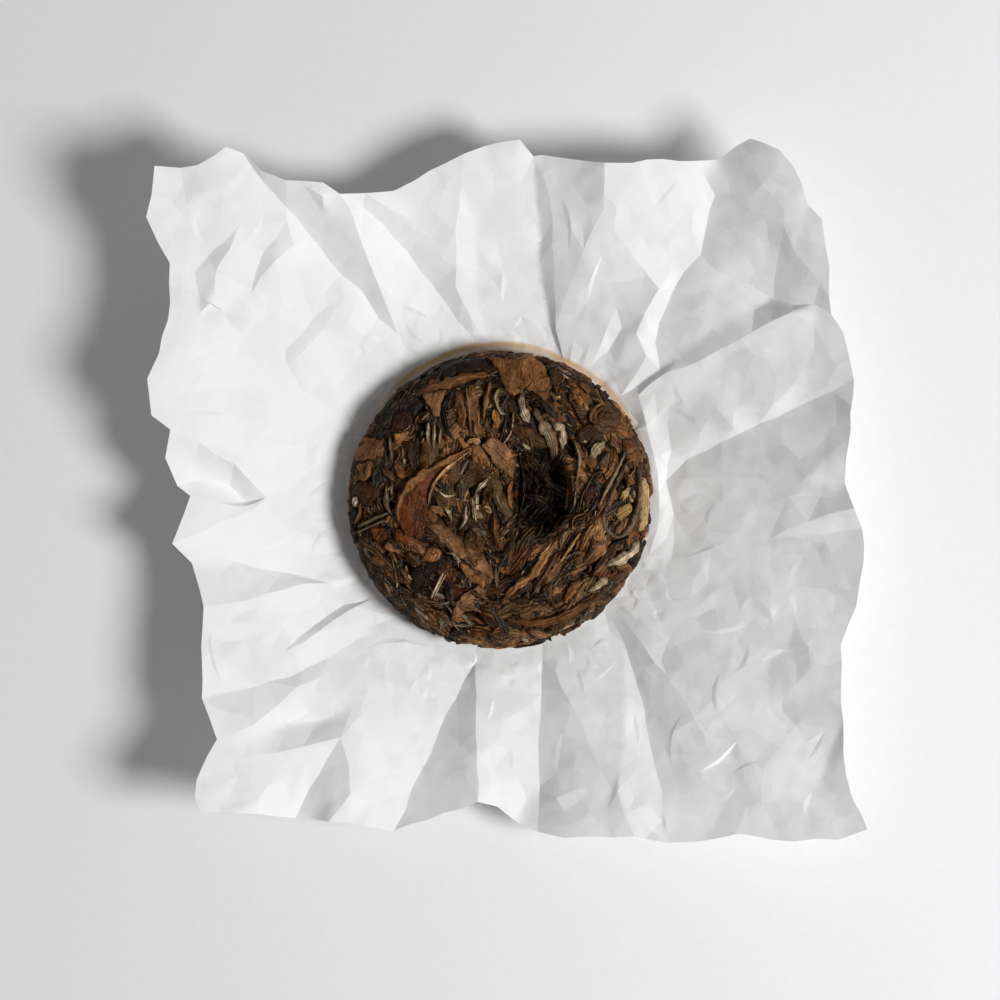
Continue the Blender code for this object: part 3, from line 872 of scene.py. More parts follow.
@dataclass
class Wrapper:
    """The opened paper wrapper: one thin sheet, creased, gathered and crumpled."""

    dish: Dish = field(default_factory=Dish)
    lift_scale: float = 0.75
    rings: tuple[tuple[float, int], ...] = ((0.0, 1), (24.0, 8), (46.0, 24), (56.0, 28))
    ring_clearance: float = 4.0
    pitch: float = 7.2
    foot_pitch: float = 4.6
    foot_span: Point = (50.0, 65.0)
    facet_clearance: float = 0.42
    facet_relief: float = 0.27
    crisp_share: float = 0.45
    corner_turn: float = 0.6
    wrinkle_pitch: float = 11.0
    wrinkle_lengths: Point = (8.0, 21.0)
    small_pitch: float = 6.5
    small_lengths: Point = (4.0, 9.0)
    small_reach: float = 76.0
    wrinkle_clearance: float = 2.6
    wrinkle_share: float = 0.5
    wrinkle_start: float = 56.0
    lively_reach: float = 75.0
    lively: float = 1.6
    thickness: float = 0.15
    underside: float = 0.05
    fine_pitch: float = 5.0
    fine_relief: float = 0.05
    flat_size: float = 265.0
    row_pitch: float = 0.87
    row_jitter: float = 0.36
    seed: int = 5

    def __post_init__(self) -> None:
        """Starts the sheet's random numbers."""
        self.rng = Random(self.seed)

    def build(self) -> Object:
        """Makes the sheet and its paper.

        Returns:
            The sheet.
        """
        mesh = self.crumple(self.main_folds())
        self.add_fine_relief(mesh)
        sheet = thicken(mesh, self.thickness, "wrapper_paper")
        sheet.data.materials.append(PaperFinish().build())
        return sheet

    def level(self, x: float, y: float, lift: float = 0.0) -> float:
        """Height of the sheet's top where it is lifted above the dish."""
        return max(self.dish.height(x, y) + lift * self.lift_scale, 0.0)

    def main_folds(self) -> Folded:
        """Triangulates the sheet along its main folds alone.

        Returns:
            Its points, triangles and creases.
        """
        net = CreaseNet()
        ring = [net.add(x, y, self.level(x, y, lift)) for x, y, lift in OUTLINE]
        for first, second in zip(ring, [*ring[1:], ring[0]]):
            net.join(first, second, 0.0)
        for sharp, line in FOLDS.values():
            ends = [net.add(x, y, self.level(x, y, *lift)) for x, y, *lift in line]
            for first, second in zip(ends, ends[1:]):
                net.join(first, second, sharp)
        for radius, count in self.rings:
            for step in range(count):
                turn = 2 * pi * (step + 0.5) / count
                place = Vector((radius * cos(turn), radius * sin(turn)))
                if net.clear_of(place, self.ring_clearance):
                    net.add(*place, self.level(*place))
        return net.triangulate(ring)

    def crumple(self, coarse: Folded) -> Mesh:
        """Adds small uneven facets between the main folds and softens the lesser edges.

        Args:
            coarse: the points, triangles and creases of the main folds.

        Returns:
            The finished upper surface as a mesh, in metres.
        """
        solid, triangles, creases = coarse
        net = CreaseNet()
        outline = [tuple(point) for point in solid[: len(OUTLINE)]]
        ring = self.divide(net, [*outline, outline[0]], 0.0)[:-1]
        for (first, second), sharp in creases.items():
            if sharp > 0.0:
                self.divide(net, [tuple(solid[first]), tuple(solid[second])], sharp)
        self.add_wrinkles(net, solid, triangles)
        for pitch, near, far in ((self.foot_pitch, *self.foot_span), (self.pitch, 0.0, self.flat_size)):
            for place in self.scattered(pitch):
                away = place.length
                outside = near == 0.0 and self.foot_span[0] < away < self.foot_span[1]
                if outside or not near <= away <= far or not inside(outline, *place):
                    continue
                if net.clear_of(place, self.facet_clearance * pitch):
                    uneven = min(max((away - self.foot_span[0]) / 8.0, 0.1), 1.0)
                    bump = self.rng.gauss(0.0, self.facet_relief) * uneven
                    net.add(*place, height_on(solid, triangles, *place) + bump)
        fine, faces, sharp = net.triangulate(ring)
        LOG.info("wrapper facets: %d", len(faces))
        return self.soften(fine, faces, sharp)

    def add_wrinkles(self, net: CreaseNet, solid: Array, triangles: Array) -> None:
        """Adds short stray wrinkles, each a bent crest or groove with one narrow flank.

        Args:
            net: the net, added to.
            solid: the points of the main folds.
            triangles: their triangles.
        """
        rng, made = self.rng, 0
        sizes = (
            (self.wrinkle_pitch, self.wrinkle_lengths, self.flat_size),
            (self.small_pitch, self.small_lengths, self.small_reach),
        )
        spots = [(place, *size[1:]) for size in sizes for place in self.scattered(size[0])]
        for place, lengths, limit in spots:
            away = place.length
            turn = atan2(place.y, place.x) + rng.gauss(0.0, 0.75)
            length, lift = rng.uniform(*lengths), rng.choice((-0.35, 0.35, 0.5)) * rng.uniform(0.6, 1.2)
            more = self.lively if away < self.lively_reach else 1.0
            if not self.wrinkle_start < away < limit or rng.random() > self.wrinkle_share * more:
                continue
            along = Vector((cos(turn), sin(turn)))
            across = Vector((-along.y, along.x)) * rng.choice((-1.0, 1.0))
            bow = rng.uniform(-0.14, 0.14) * length
            crest = []
            for part in (-0.5, -0.14, 0.2, 0.5):
                crest.append(place + along * length * part + across * bow * (1 - 4 * part * part))
            room = self.wrinkle_clearance
            if not all(inside(OUTLINE, *spot) and net.clear_of(spot, room) for spot in crest):
                continue
            foot = [crest[0], *(spot + across * rng.uniform(0.9, 1.9) for spot in crest[1:-1]), crest[-1]]
            lines = ((crest, (0.0, lift, 0.8 * lift, 0.0), 1.0), (foot, (0.0,) * 4, 0.5))
            for line, heights, sharp in lines:
                known = [self.on_net(net, solid, triangles, *pair) for pair in zip(line, heights)]
                for first, second in zip(known, known[1:]):
                    net.join(first, second, sharp)
            made += 1
        LOG.info("stray wrinkles: %d", made)

    @staticmethod
    def on_net(net: CreaseNet, solid: Array, triangles: Array, place: Vector, lift: float) -> int:
        """Adds a point to a net at a height above the main folds."""
        return net.add(*place, height_on(solid, triangles, *place) + lift)

    def scattered(self, pitch: float) -> Iterable[Vector]:
        """Places in uneven rows over the whole sheet.

        Args:
            pitch: how far apart they are.

        Yields:
            Each place.
        """
        rng, off = self.rng, self.row_jitter
        for row in range(ceil(self.flat_size / (pitch * self.row_pitch))):
            for column in range(ceil(self.flat_size / pitch)):
                x = (column + (row % 2) / 2 + rng.uniform(-off, off)) * pitch - self.flat_size / 2
                y = (row * self.row_pitch + rng.uniform(-off, off)) * pitch - self.flat_size / 2
                yield Vector((x, y))

    def divide(self, net: CreaseNet, line: Sequence[FoldPoint], sharp: float) -> list[int]:
        """Adds a line to the net in short uneven steps.

        Args:
            net: the net.
            line: the line's points.
            sharp: how sharply the sheet is creased along it.

        Returns:
            The numbers of its points.
        """
        ends = [net.add(*line[0])]
        for start, stop in zip(line, line[1:]):
            length = dist(start[:2], stop[:2])
            steps = max(1, round(length / self.pitch))
            for step in range(1, steps + 1):
                share = step / steps
                x, y, z = (a + (b - a) * share for a, b in zip(start, stop))
                if step < steps:
                    off = self.rng.uniform(-0.05, 0.05) * length / steps
                    x -= off * (stop[1] - start[1]) / length * 2
                    y += off * (stop[0] - start[0]) / length * 2
                    z += self.rng.gauss(0.0, 0.12)
                ends.append(net.add(x, y, z))
                net.join(ends[-2], ends[-1], sharp)
        return ends

    def soften(self, solid: Array, faces: Array, creases: Creases) -> Mesh:
        """Subdivides the facets, keeping the creases as sharp as they are meant to be.

        Args:
            solid: the points.
            faces: the triangles.
            creases: sharpness of the main creases.

        Returns:
            The subdivided mesh, in metres.
        """
        bm = bmesh.new()
        crease = bm.edges.layers.float.new("crease_edge")
        pin = bm.verts.layers.float.new("crease_vert")
        verts = [bm.verts.new((x * MM, y * MM, z * MM)) for x, y, z in solid]
        for face in faces:
            bm.faces.new([verts[k] for k in face])
        bm.verts.index_update()
        for edge in bm.edges:
            key = tuple(sorted(vert.index for vert in edge.verts))
            if edge.is_boundary:
                continue
            if creases.get(key, 0.0) > 0.0:
                edge[crease] = min(1.0, 0.4 + 0.5 * creases[key])
                edge.smooth = creases[key] < 0.45
            elif self.rng.random() < self.crisp_share and not any(vert.is_boundary for vert in edge.verts):
                edge[crease] = 0.7
                edge.smooth = False
        for vert in bm.verts:
            rim = [edge.other_vert(vert).co - vert.co for edge in vert.link_edges if edge.is_boundary]
            if len(rim) == 2:
                turn = pi - rim[0].to_2d().angle(rim[1].to_2d(), 0.0)
                vert[pin] = min(1.0, 0.35 + turn / self.corner_turn)
        bmesh.ops.recalc_face_normals(bm, faces=bm.faces)
        mesh = bpy.data.meshes.new("facets")
        bm.to_mesh(mesh)
        bm.free()
        if mesh.polygons[0].normal.z < 0:
            mesh.flip_normals()
        holder = in_scene("facets", mesh)
        smooth = holder.modifiers.new("soften", "SUBSURF")
        smooth.levels = smooth.render_levels = 2
        return applied(holder)

    def add_fine_relief(self, mesh: Mesh) -> None:
        """Crinkles the surface between its facets, less where it lies under the cake.

        Args:
            mesh: the upper surface, changed in place.
        """
        points = np.empty(len(mesh.vertices) * 3)
        mesh.vertices.foreach_get("co", points)
        points = points.reshape(-1, 3) / MM
        relief = np.zeros(len(points))
        for sign in (1.0, -1.0):
            relief += sign * self.cells(points)
        away = np.hypot(points[:, 0], points[:, 1])
        points[:, 2] += relief * self.fine_relief * np.clip((away - 46.0) / 12.0, 0.15, 1.0)
        points[:, 2] = np.maximum(points[:, 2], 0.0) + self.underside + self.thickness
        mesh.vertices.foreach_set("co", (points * MM).ravel())
        mesh.update()

    def cells(self, points: Array) -> Array:
        """Rounded facets that meet in sharp edges, from 0 to about 1.

        Args:
            points: the places.

        Returns:
            A value for each place.
        """
        count = round((self.flat_size / self.fine_pitch) ** 2)
        half = self.flat_size / 2
        tree = KDTree(count)
        for k in range(count):
            tree.insert((self.rng.uniform(-half, half), self.rng.uniform(-half, half), 0.0), k)
        tree.balance()
        return np.array([(tree.find((x, y, 0.0))[2] / self.fine_pitch) ** 2 * 2.5 for x, y, _ in points])


def applied(holder: Object) -> Mesh:
    """Applies an object's modifiers and removes the object.

    Args:
        holder: the object.

    Returns:
        The mesh after the modifiers.
    """
    bpy.context.view_layer.update()
    graph = bpy.context.evaluated_depsgraph_get()
    mesh = bpy.data.meshes.new_from_object(holder.evaluated_get(graph))
    bpy.data.objects.remove(holder)
    return mesh


def thicken(mesh: Mesh, thickness: float, name: str) -> Object:
    """Gives a surface a thickness downwards.

    Args:
        mesh: the upper surface.
        thickness: how thick it becomes, in millimetres.
        name: the new object's name.

    Returns:
        The object, in the scene.
    """
    holder = in_scene(name, mesh)
    shell = holder.modifiers.new("thickness", "SOLIDIFY")
    shell.thickness = thickness * MM
    shell.offset = -1.0
    solid = applied(holder)
    solid.name = name
    for face in solid.polygons:
        face.use_smooth = True
    mark_rim(solid)
    return in_scene(name, solid)


def mark_rim(mesh: Mesh) -> None:
    """Keeps the shading of a sheet's thin rim apart from its two faces.

    Args:
        mesh: the sheet, changed in place.
    """
    bm = bmesh.new()
    bm.from_mesh(mesh)
    for edge in bm.edges:
        if len(edge.link_faces) == 2 and edge.calc_face_angle(0.0) > radians(50.0):
            edge.smooth = False
    bm.to_mesh(mesh)
    bm.free()


# ---- cake


def smooth_route(points: Sequence[Sequence[float]], count: int) -> Array:
    """Evenly spaced points on a smooth curve through the given ones.

    Args:
        points: the points that the curve goes through.
        count: how many points are wanted.

    Returns:
        The points, one a row.
    """
    given = np.array(points, dtype=float)
    padded = np.vstack([2 * given[0] - given[1], given, 2 * given[-1] - given[-2]])
    t = np.linspace(0.0, 1.0, 12, endpoint=False)[:, None]
    parts = []
    for a, b, c, d in zip(padded, padded[1:], padded[2:], padded[3:]):
        bend, twist = 2 * a - 5 * b + 4 * c - d, 3 * b - a - 3 * c + d
        parts.append(0.5 * (2 * b + (c - a) * t + bend * t**2 + twist * t**3))
    dense = np.vstack([*parts, given[-1:]])
    along = run_lengths(dense)
    wanted = np.linspace(0.0, along[-1], count)
    return np.column_stack([np.interp(wanted, along, dense[:, k]) for k in range(given.shape[1])])


def ripple(x: Array, y: Array, length: float, seed: int) -> Array:
    """Smooth uneven waves, from about -1 to 1.

    Args:
        x: the places.
        y: the places.
        length: the shortest wavelength.
        seed: chooses the waves.

    Returns:
        A value for each place.
    """
    rng = Random(seed)
    total = np.zeros(np.broadcast(x, y).shape)
    for _ in range(7):
        turn, phase, wave = rng.uniform(0, tau), rng.uniform(0, tau), length * rng.uniform(1.0, 2.4)
        total = total + np.sin((x * cos(turn) + y * sin(turn)) * tau / wave + phase)
    return total / 3.2


def soft_step(value: Array) -> Array:
    """Eases 0 to 1."""
    held = np.clip(value, 0.0, 1.0)
    return held * held * (3 - 2 * held)


def eased(value: float) -> float:
    """Eases one number from 0 to 1."""
    return float(soft_step(np.float64(value)))


@dataclass(frozen=True)
class CakeForm:
    """The pressed cake's outer form, reached through two maps that meet on the rim.

    The upper map has its middle at the crown and the lower one at the underside's centre. Distances
    from a map's middle are measured along the cake's surface, so leaves keep their size on it.
    """

    radius: float = 53.2
    lobes: tuple[float, float, float] = (0.004, 0.010, 0.004)
    base: float = 0.75
    crown: float = 19.0
    shoulder_drop: float = 3.2
    rim_height: float = 8.2
    dish_centre: Point = (-4.0, 2.5)
    dish_radius: float = 26.0
    dish_depth: float = 3.6
    pit_centre: Point = (14.5, 3.5)
    pit_radii: Point = (12.0, 17.0)
    pit_depth: float = 10.5
    hollow_reach: float = 46.0
    floor_level: float = 0.27

    def section(self) -> tuple[Array, Array]:
        """The half section from the crown's middle round the rim to the underside's centre.

        Returns:
            Distance along the surface, and radius with height for each.
        """
        base, crown, r = self.base, self.crown, self.radius
        shoulder = crown - self.shoulder_drop
        line = smooth_route(
            (
                (0.0, crown), (0.3 * r, crown), (0.60 * r, crown), (0.76 * r, crown - 0.9),
                (0.91 * r, shoulder), (0.975 * r, shoulder - 2.4), (r, base + self.rim_height),
                (0.975 * r, base + 5.2), (0.88 * r, base + 2.6), (0.70 * r, base + 0.8),
                (0.44 * r, base), (0.2 * r, base), (0.0, base),
            ),
            400,
        )
        return run_lengths(line), line

    def length(self) -> float:
        """Distance along the surface from the crown's middle to the underside's centre."""
        return float(self.section()[0][-1])

    def hollow(self, x: Array, y: Array) -> Array:
        """Depth of the dish and its pit.

        Args:
            x: places on the upper side.
            y: places on the upper side.

        Returns:
            The depth at each.
        """
        dish = 1.0 - np.hypot(x - self.dish_centre[0], y - self.dish_centre[1]) / self.dish_radius
        (pit_x, pit_y), (wide, tall) = self.pit_centre, self.pit_radii
        pit = 1.0 - np.hypot((x - pit_x) / wide, (y - pit_y) / tall)
        return self.dish_depth * soft_step(dish * 1.5) + self.pit_depth * soft_step(pit * 2.6)

    def swell(self, turn: Array, radius: Array) -> Array:
        """How uneven the round outline is.

        Args:
            turn: directions from the middle.
            radius: distances from it.

        Returns:
            The share by which each place moves out or in, fading out at the middle.
        """
        first, second, slanted = self.lobes
        growth = first * np.cos(turn) + second * np.cos(2 * turn) + slanted * np.sin(2 * turn)
        return 1.0 + growth * (radius / self.radius) ** 2

    def seen_from_above(self, route: Sequence[Point]) -> list[Point]:
        """Finds points on the upper map.

        Args:
            route: the points as seen from straight above.

        Returns:
            Their places on the map.
        """
        along, line = self.section()
        widest = int(np.argmax(line[:, 0]))
        found = []
        for x, y in route:
            away = max(hypot(x, y), 1e-6)
            plain = away / float(self.swell(np.float64(atan2(y, x)), np.float64(away)))
            grown = float(np.interp(plain, line[:widest, 0], along[:widest])) / away
            found.append((x * grown, y * grown))
        return found

    def place(self, x: Array, y: Array, height: Array, under: Array) -> Array:
        """Turns map places into points on the cake.

        Args:
            x: the places on a map.
            y: the places on a map.
            height: how far each stands out from the surface.
            under: 1 for the lower map and 0 for the upper one.

        Returns:
            The points, one a row.
        """
        along, line = self.section()
        away = np.hypot(x, y)
        spot = np.where(under > 0.5, along[-1] - away, away)
        slope = np.gradient(line, along, axis=0)
        radius, level = np.interp(spot, along, line[:, 0]), np.interp(spot, along, line[:, 1])
        out_r, out_z = -np.interp(spot, along, slope[:, 1]), np.interp(spot, along, slope[:, 0])
        turn = np.arctan2(y, x)
        reach = (radius + out_r * height) * self.swell(turn, radius)
        points = np.column_stack([reach * np.cos(turn), reach * np.sin(turn), level + out_z * height])
        on_top = soft_step((self.hollow_reach - spot) / 6.0)
        points[:, 2] -= self.hollow(points[:, 0], points[:, 1]) * on_top
        points[:, 2] = np.maximum(points[:, 2], self.floor_level)
        return points


class Shape(Enum):
    """How a piece of leaf is formed.

    Each has its arch's height, how flat its top is, its ridges to a millimetre, how deep they are, and
    how blunt its ends are.
    """

    ROLLED = (0.95, 2.2, 0.8, 0.26, 0.5)
    WRINKLED = (0.8, 3.0, 0.62, 0.42, 0.75)
    FLAT = (0.45, 6.0, 0.3, 0.2, 0.85)
    FOLDED = (1.1, 1.7, 0.45, 0.22, 0.45)
    BUD = (0.95, 2.2, 1.25, 0.34, 0.6)
    STEM = (0.85, 2.0, 0.8, 0.05, 0.95)


ROLLED, WRINKLED, FLAT, FOLDED, BUD, STEM = Shape

# Painted highlight: the pale colour that the leaves' ridge crests are mixed toward.
PAINTED_RIDGE_HIGHLIGHT: Colour = srgb(176, 150, 110)


def own_place(seed: int) -> float:
    """A third coordinate for a leaf's pattern, which sets it apart from the other leaves'."""
    return (seed % 997) * 3.7


def turned(places: Array, turn: float) -> tuple[Array, Array]:
    """How far places lie along a direction, and across it."""
    along = places[:, 0] * cos(turn) + places[:, 1] * sin(turn)
    return along, -places[:, 0] * sin(turn) + places[:, 1] * cos(turn)


@dataclass
class Ribbon:
    """One rolled, folded or flat piece of leaf, laid along a route on one of the cake's maps."""

    route: Sequence[Sequence[float]]
    width: float
    tint: Colour
    shape: Shape = ROLLED
    level: float = 0.0
    crest: float = 0.0
    tilt: float = 0.0
    steps: int = 12
    across: int = 9
    under: bool = False
    ragged: float = 0.12
    sink: float = 1.0
    painted_sheen: float = 0.0
    seed: int = 0

    def grid(self) -> dict[str, Array]:
        """Forms the piece.

        Returns:
            Its points, colours and own coordinates, as grids of steps by across.
        """
        high, flatness, ridges, ridge_depth, blunt = self.shape.value
        rng = Random(self.seed)
        centre = smooth_route(self.route, self.steps) if len(self.route) > 2 else self.straight()
        tangent = np.gradient(centre, axis=0)
        tangent /= np.maximum(np.linalg.norm(tangent, axis=1, keepdims=True), 1e-9)
        t = np.linspace(0.0, 1.0, self.steps)
        length = float(np.linalg.norm(np.diff(centre, axis=0), axis=1).sum())
        ends = np.minimum(t, 1 - t) * 2
        taper = np.clip(ends, 0.0, 1.0) ** (0.75 * (1.0 - blunt) + 0.08)
        phases = [rng.uniform(0, tau) for _ in range(6)]
        run = t * length
        wave = np.sin(run / 2.3 + phases[0]) + 0.6 * np.sin(run / 1.1 + phases[1])
        half = 0.5 * self.width * taper * (1.0 + self.ragged * wave)
        u, run = np.linspace(-1.0, 1.0, self.across)[None, :], run[:, None]
        side = np.sign(u) * phases[3]
        tears = np.sin(run / 0.9 + phases[2] + side) + 0.6 * np.sin(run / 0.41 + side)
        edge = 1.0 + self.ragged * tears
        bent = np.clip(u - self.crest * (1 - u * u), -1.0, 1.0)
        arch = 1.0 - np.abs(bent) ** flatness
        twist = rng.uniform(-1.5, 1.5)
        sweep = pi * ridges * self.width * u / 2 + phases[4] + twist * t[:, None] * 2
        sweep = sweep + 0.9 * np.sin(run / 3.1 + phases[5])
        lines = 1.0 - 2.0 * np.abs(np.sin(sweep))
        relief = ridge_depth * lines * (1 - u**4)
        fall = np.clip(1.0 - ends * 2.6, 0.0, 1.0)[:, None] ** 1.5
        thick = high * min(1.0, 0.35 + 0.42 * self.width)
        height = self.level + thick * arch * (0.45 + 0.55 * taper[:, None]) + relief + self.tilt * u
        buckle = np.sin(run / 1.1 + phases[2] + 2.0 * u) * np.sin(run / 2.9 + phases[1])
        height = height - fall * (0.5 + thick) + (0.1 + 0.35 * ridge_depth) * buckle
        height[:, [0, -1]] = self.level - self.sink
        height[[0, -1], :] = np.minimum(height[[0, -1], :], self.level - self.sink)
        x = centre[:, :1] - tangent[:, 1:] * half[:, None] * u * edge
        y = centre[:, 1:] + tangent[:, :1] * half[:, None] * u * edge
        shade = (0.52 + 0.45 * arch + (0.1 + 0.3 * ridge_depth) * lines) * (1.0 - 0.35 * fall)
        patchy = 1.0 + 0.14 * np.sin(run / 1.9 + phases[3]) + 0.1 * np.sin(u * 4 + phases[0])
        tint = (shade * patchy)[..., None] * np.array(self.tint)
        # Painted highlight along the ridge crests.
        painted_glint = (self.painted_sheen * soft_step((lines - 0.3) / 0.6) * arch)[..., None]
        tint = tint * (1.0 - painted_glint) + painted_glint * np.array(PAINTED_RIDGE_HIGHLIGHT)
        own = (run, u * self.width / 2, own_place(self.seed))
        grain = np.stack([np.broadcast_to(part, x.shape) for part in own], axis=-1)
        return {"x": x, "y": y, "h": height, "tint": tint, "grain": grain}

    def straight(self) -> Array:
        """Evenly spaced points between the route's two ends."""
        start, stop = (np.array(point, dtype=float) for point in self.route)
        return start + (stop - start) * np.linspace(0.0, 1.0, self.steps)[:, None]


@dataclass
class Patch:
    """One broad flat leaf with an outline of its own, creased, and curled along its edge."""

    outline: Sequence[Point]
    tint: Colour
    level: float = 0.9
    dome: float = 0.5
    vein_turn: float = 60.0
    wrinkle: float = 0.32
    pitch: float = 0.95
    sink: float = 1.6
    under: bool = False
    seed: int = 0

    def edge(self, rng: Random) -> Array:
        """Makes the outline's closely set points, torn a little.

        Args:
            rng: random numbers.

        Returns:
            The points, anticlockwise.
        """
        closed = [*self.outline, self.outline[0]]
        if sum(a[0] * b[1] - b[0] * a[1] for a, b in zip(closed, closed[1:])) < 0:
            closed.reverse()
        given = np.array(closed)
        along = run_lengths(given)
        count = max(8, round(along[-1] / (self.pitch * 0.8)))
        spots = np.linspace(0.0, along[-1], count, endpoint=False)
        edge = np.column_stack([np.interp(spots, along, given[:, k]) for k in range(2)])
        edge = (np.roll(edge, 1, axis=0) + 2 * edge + np.roll(edge, -1, axis=0)) / 4
        run = np.roll(edge, -1, axis=0) - np.roll(edge, 1, axis=0)
        length = np.maximum(np.linalg.norm(run, axis=1, keepdims=True), 1e-9)
        torn = np.zeros(count)
        for wave, deep in ((7.3, 0.2), (3.4, 0.15), (2.1, 0.08)):
            torn += deep * np.sin(spots * tau / wave + rng.uniform(0, tau))
        return edge + np.column_stack([run[:, 1], -run[:, 0]]) / length * torn[:, None]

    def mesh(self) -> dict[str, Array]:
        """Forms the leaf.

        Returns:
            Its points, triangles, colours and own coordinates.
        """
        rng = Random(self.seed)
        edge = self.edge(rng)
        points = [Vector(point) for point in edge]
        ring = list(range(len(points)))
        low, high = edge.min(axis=0), edge.max(axis=0)
        for row in range(ceil((high[1] - low[1]) / self.pitch)):
            for column in range(ceil((high[0] - low[0]) / self.pitch)):
                x = low[0] + (column + rng.uniform(0.2, 0.8)) * self.pitch
                y = low[1] + (row + rng.uniform(0.2, 0.8)) * self.pitch
                if inside(edge.tolist(), x, y) and np.min(distances(edge, x, y)) > 0.5 * self.pitch:
                    points.append(Vector((x, y)))
        found = delaunay_2d_cdt(points, [(k, (k + 1) % len(ring)) for k in ring], [ring], 1, 1e-4)
        flat = np.array([tuple(place) for place in found[0]])
        faces = [list(face) for face in found[2]]
        near = np.array([np.min(distances(edge, x, y)) for x, y in flat])
        turn = radians(self.vein_turn)
        from_middle = flat - flat.mean(axis=0)
        a, b = turned(from_middle, turn)
        creases = self.creases(from_middle, float(np.hypot(*(high - low))), rng)
        rise = soft_step(near / 1.4)
        facing = np.cos(np.arctan2(from_middle[:, 1], from_middle[:, 0]) - rng.uniform(0, tau))
        curl = (0.15 + 0.5 * facing) * np.clip(1.0 - near / 2.4, 0.0, 1.0) ** 2
        height = self.level + self.dome * soft_step(near / 4.0) + curl + creases
        height += self.wrinkle * ripple(flat[:, 0], flat[:, 1], 4.5, self.seed + 11)
        count = len(flat)
        nearest = [int(np.argmin(distances(flat, x, y))) for x, y in edge]
        for k in ring:
            after = (k + 1) % len(ring)
            faces.append([nearest[k], count + k, count + after])
            faces.append([nearest[k], count + after, nearest[after]])
        if self.under:
            faces = [face[::-1] for face in faces]
        shade = (0.8 + 0.22 * rise) * (1 + 0.14 * ripple(a, b, 5.0, self.seed)) * (1 + 0.45 * creases)
        places, same = np.vstack([flat, edge]), [*range(count), *nearest]
        # The skirt down the leaf's edge is painted dark, as shade under its rim.
        return {
            "x": places[:, 0],
            "y": places[:, 1],
            "h": np.concatenate([height, np.full(len(edge), self.level - self.sink)]),
            "tint": np.outer(np.concatenate([shade, np.full(len(edge), 0.3)]), self.tint),
            "grain": np.column_stack([a[same], b[same], np.full(len(same), own_place(self.seed))]),
            "faces": faces,
        }

    def creases(self, places: Array, size: float, rng: Random) -> Array:
        """Height of a few sharp straight creases across the leaf.

        Args:
            places: where, from the leaf's middle.
            size: the leaf's size.
            rng: random numbers.

        Returns:
            A height for each place.
        """
        total = np.zeros(len(places))
        for number in range(2 + round(size / 7.0)):
            turn = radians(self.vein_turn) + rng.gauss(0.0, 0.9)
            along, off = turned(places, turn)
            off = off - rng.uniform(-0.35, 0.35) * size
            along = along - rng.uniform(-0.3, 0.3) * size
            fade = np.exp(-((along / (0.3 * size)) ** 2))
            deep = (-1) ** number * rng.uniform(1.2, 3.2) * self.wrinkle
            total += deep * np.exp(-np.abs(off) / 1.3) * fade
        return total


class Heap:
    """Gathers many small pieces of one kind into one mesh."""

    def __init__(self, form: CakeForm) -> None:
        """Starts an empty heap.

        Args:
            form: the cake that it lies on.
        """
        self.form = form
        keys = ("x", "y", "h", "under", "tint", "grain")
        self.parts: dict[str, list[Array]] = {key: [] for key in keys}
        self.faces: list[list[int]] = []
        self.count = 0

    def add_ribbon(self, ribbon: Ribbon) -> None:
        """Adds one ribbon.

        Args:
            ribbon: the ribbon.
        """
        grid = ribbon.grid()
        rows, columns = grid["x"].shape
        number = np.arange(rows * columns).reshape(rows, columns) + self.count
        corners = (number[:-1, :-1], number[1:, :-1], number[1:, 1:], number[:-1, 1:])
        quads = np.stack(corners, axis=-1).reshape(-1, 4)
        if ribbon.under:
            quads = quads[:, ::-1]
        self.faces.extend(quads.tolist())
        self.gather(grid, ribbon.under)

    def add_patch(self, patch: Patch) -> None:
        """Adds one broad leaf.

        Args:
            patch: the leaf.
        """
        mesh = patch.mesh()
        self.faces.extend([[k + self.count for k in face] for face in mesh.pop("faces")])
        self.gather(mesh, patch.under)

    def gather(self, piece: dict[str, Array], under: bool) -> None:
        """Keeps a piece's points.

        Args:
            piece: its arrays.
            under: whether it lies on the lower map.
        """
        size = piece["x"].size
        for key in ("x", "y", "h"):
            self.parts[key].append(piece[key].ravel())
        self.parts["under"].append(np.full(size, float(under)))
        self.parts["tint"].append(piece["tint"].reshape(size, 3))
        self.parts["grain"].append(piece["grain"].reshape(size, 3))
        self.count += size

    def build(self, name: str, finish: LeafFinish) -> Object:
        """Makes the heap's mesh.

        Args:
            name: the piece's name.
            finish: its finish.

        Returns:
            The object, in the scene.
        """
        joined = {key: np.concatenate(value) for key, value in self.parts.items()}
        points = self.form.place(joined["x"], joined["y"], joined["h"], joined["under"])
        mesh = bpy.data.meshes.new(name)
        mesh.from_pydata((points * MM).tolist(), [], self.faces)
        tint = mesh.color_attributes.new("tint", "FLOAT_COLOR", "POINT")
        colours = np.column_stack([np.clip(joined["tint"], 0.0, 1.0), np.ones(len(points))])
        tint.data.foreach_set("color", colours.ravel())
        grain = mesh.attributes.new("grain", "FLOAT_VECTOR", "POINT")
        grain.data.foreach_set("vector", joined["grain"].ravel())
        mesh.shade_smooth()
        mesh.materials.append(finish.build())
        return in_scene(name, mesh)


# The colours of tea: dark leaves, brown leaves, then stems and downy buds
INK = srgb(18, 14, 11)
COAL = srgb(32, 22, 14)
SOOT = srgb(40, 30, 21)
PEAT = srgb(46, 33, 18)
MAROON = srgb(52, 31, 19)
UMBER = srgb(60, 40, 22)
BARK = srgb(78, 54, 32)
MOSS = srgb(92, 68, 38)
RUSSET = srgb(95, 52, 24)
CHESTNUT = srgb(98, 64, 36)
BROWN = srgb(116, 78, 46)
HAZEL = srgb(124, 88, 58)
COPPER = srgb(134, 91, 53)
TAN = srgb(150, 106, 62)
GOLD = srgb(155, 125, 75)
STRAW = srgb(175, 142, 96)
SAND = srgb(188, 144, 98)
ASH = srgb(104, 86, 68)
PEWTER = srgb(134, 114, 88)
SILVER = srgb(162, 142, 112)
CREAM = srgb(190, 168, 136)


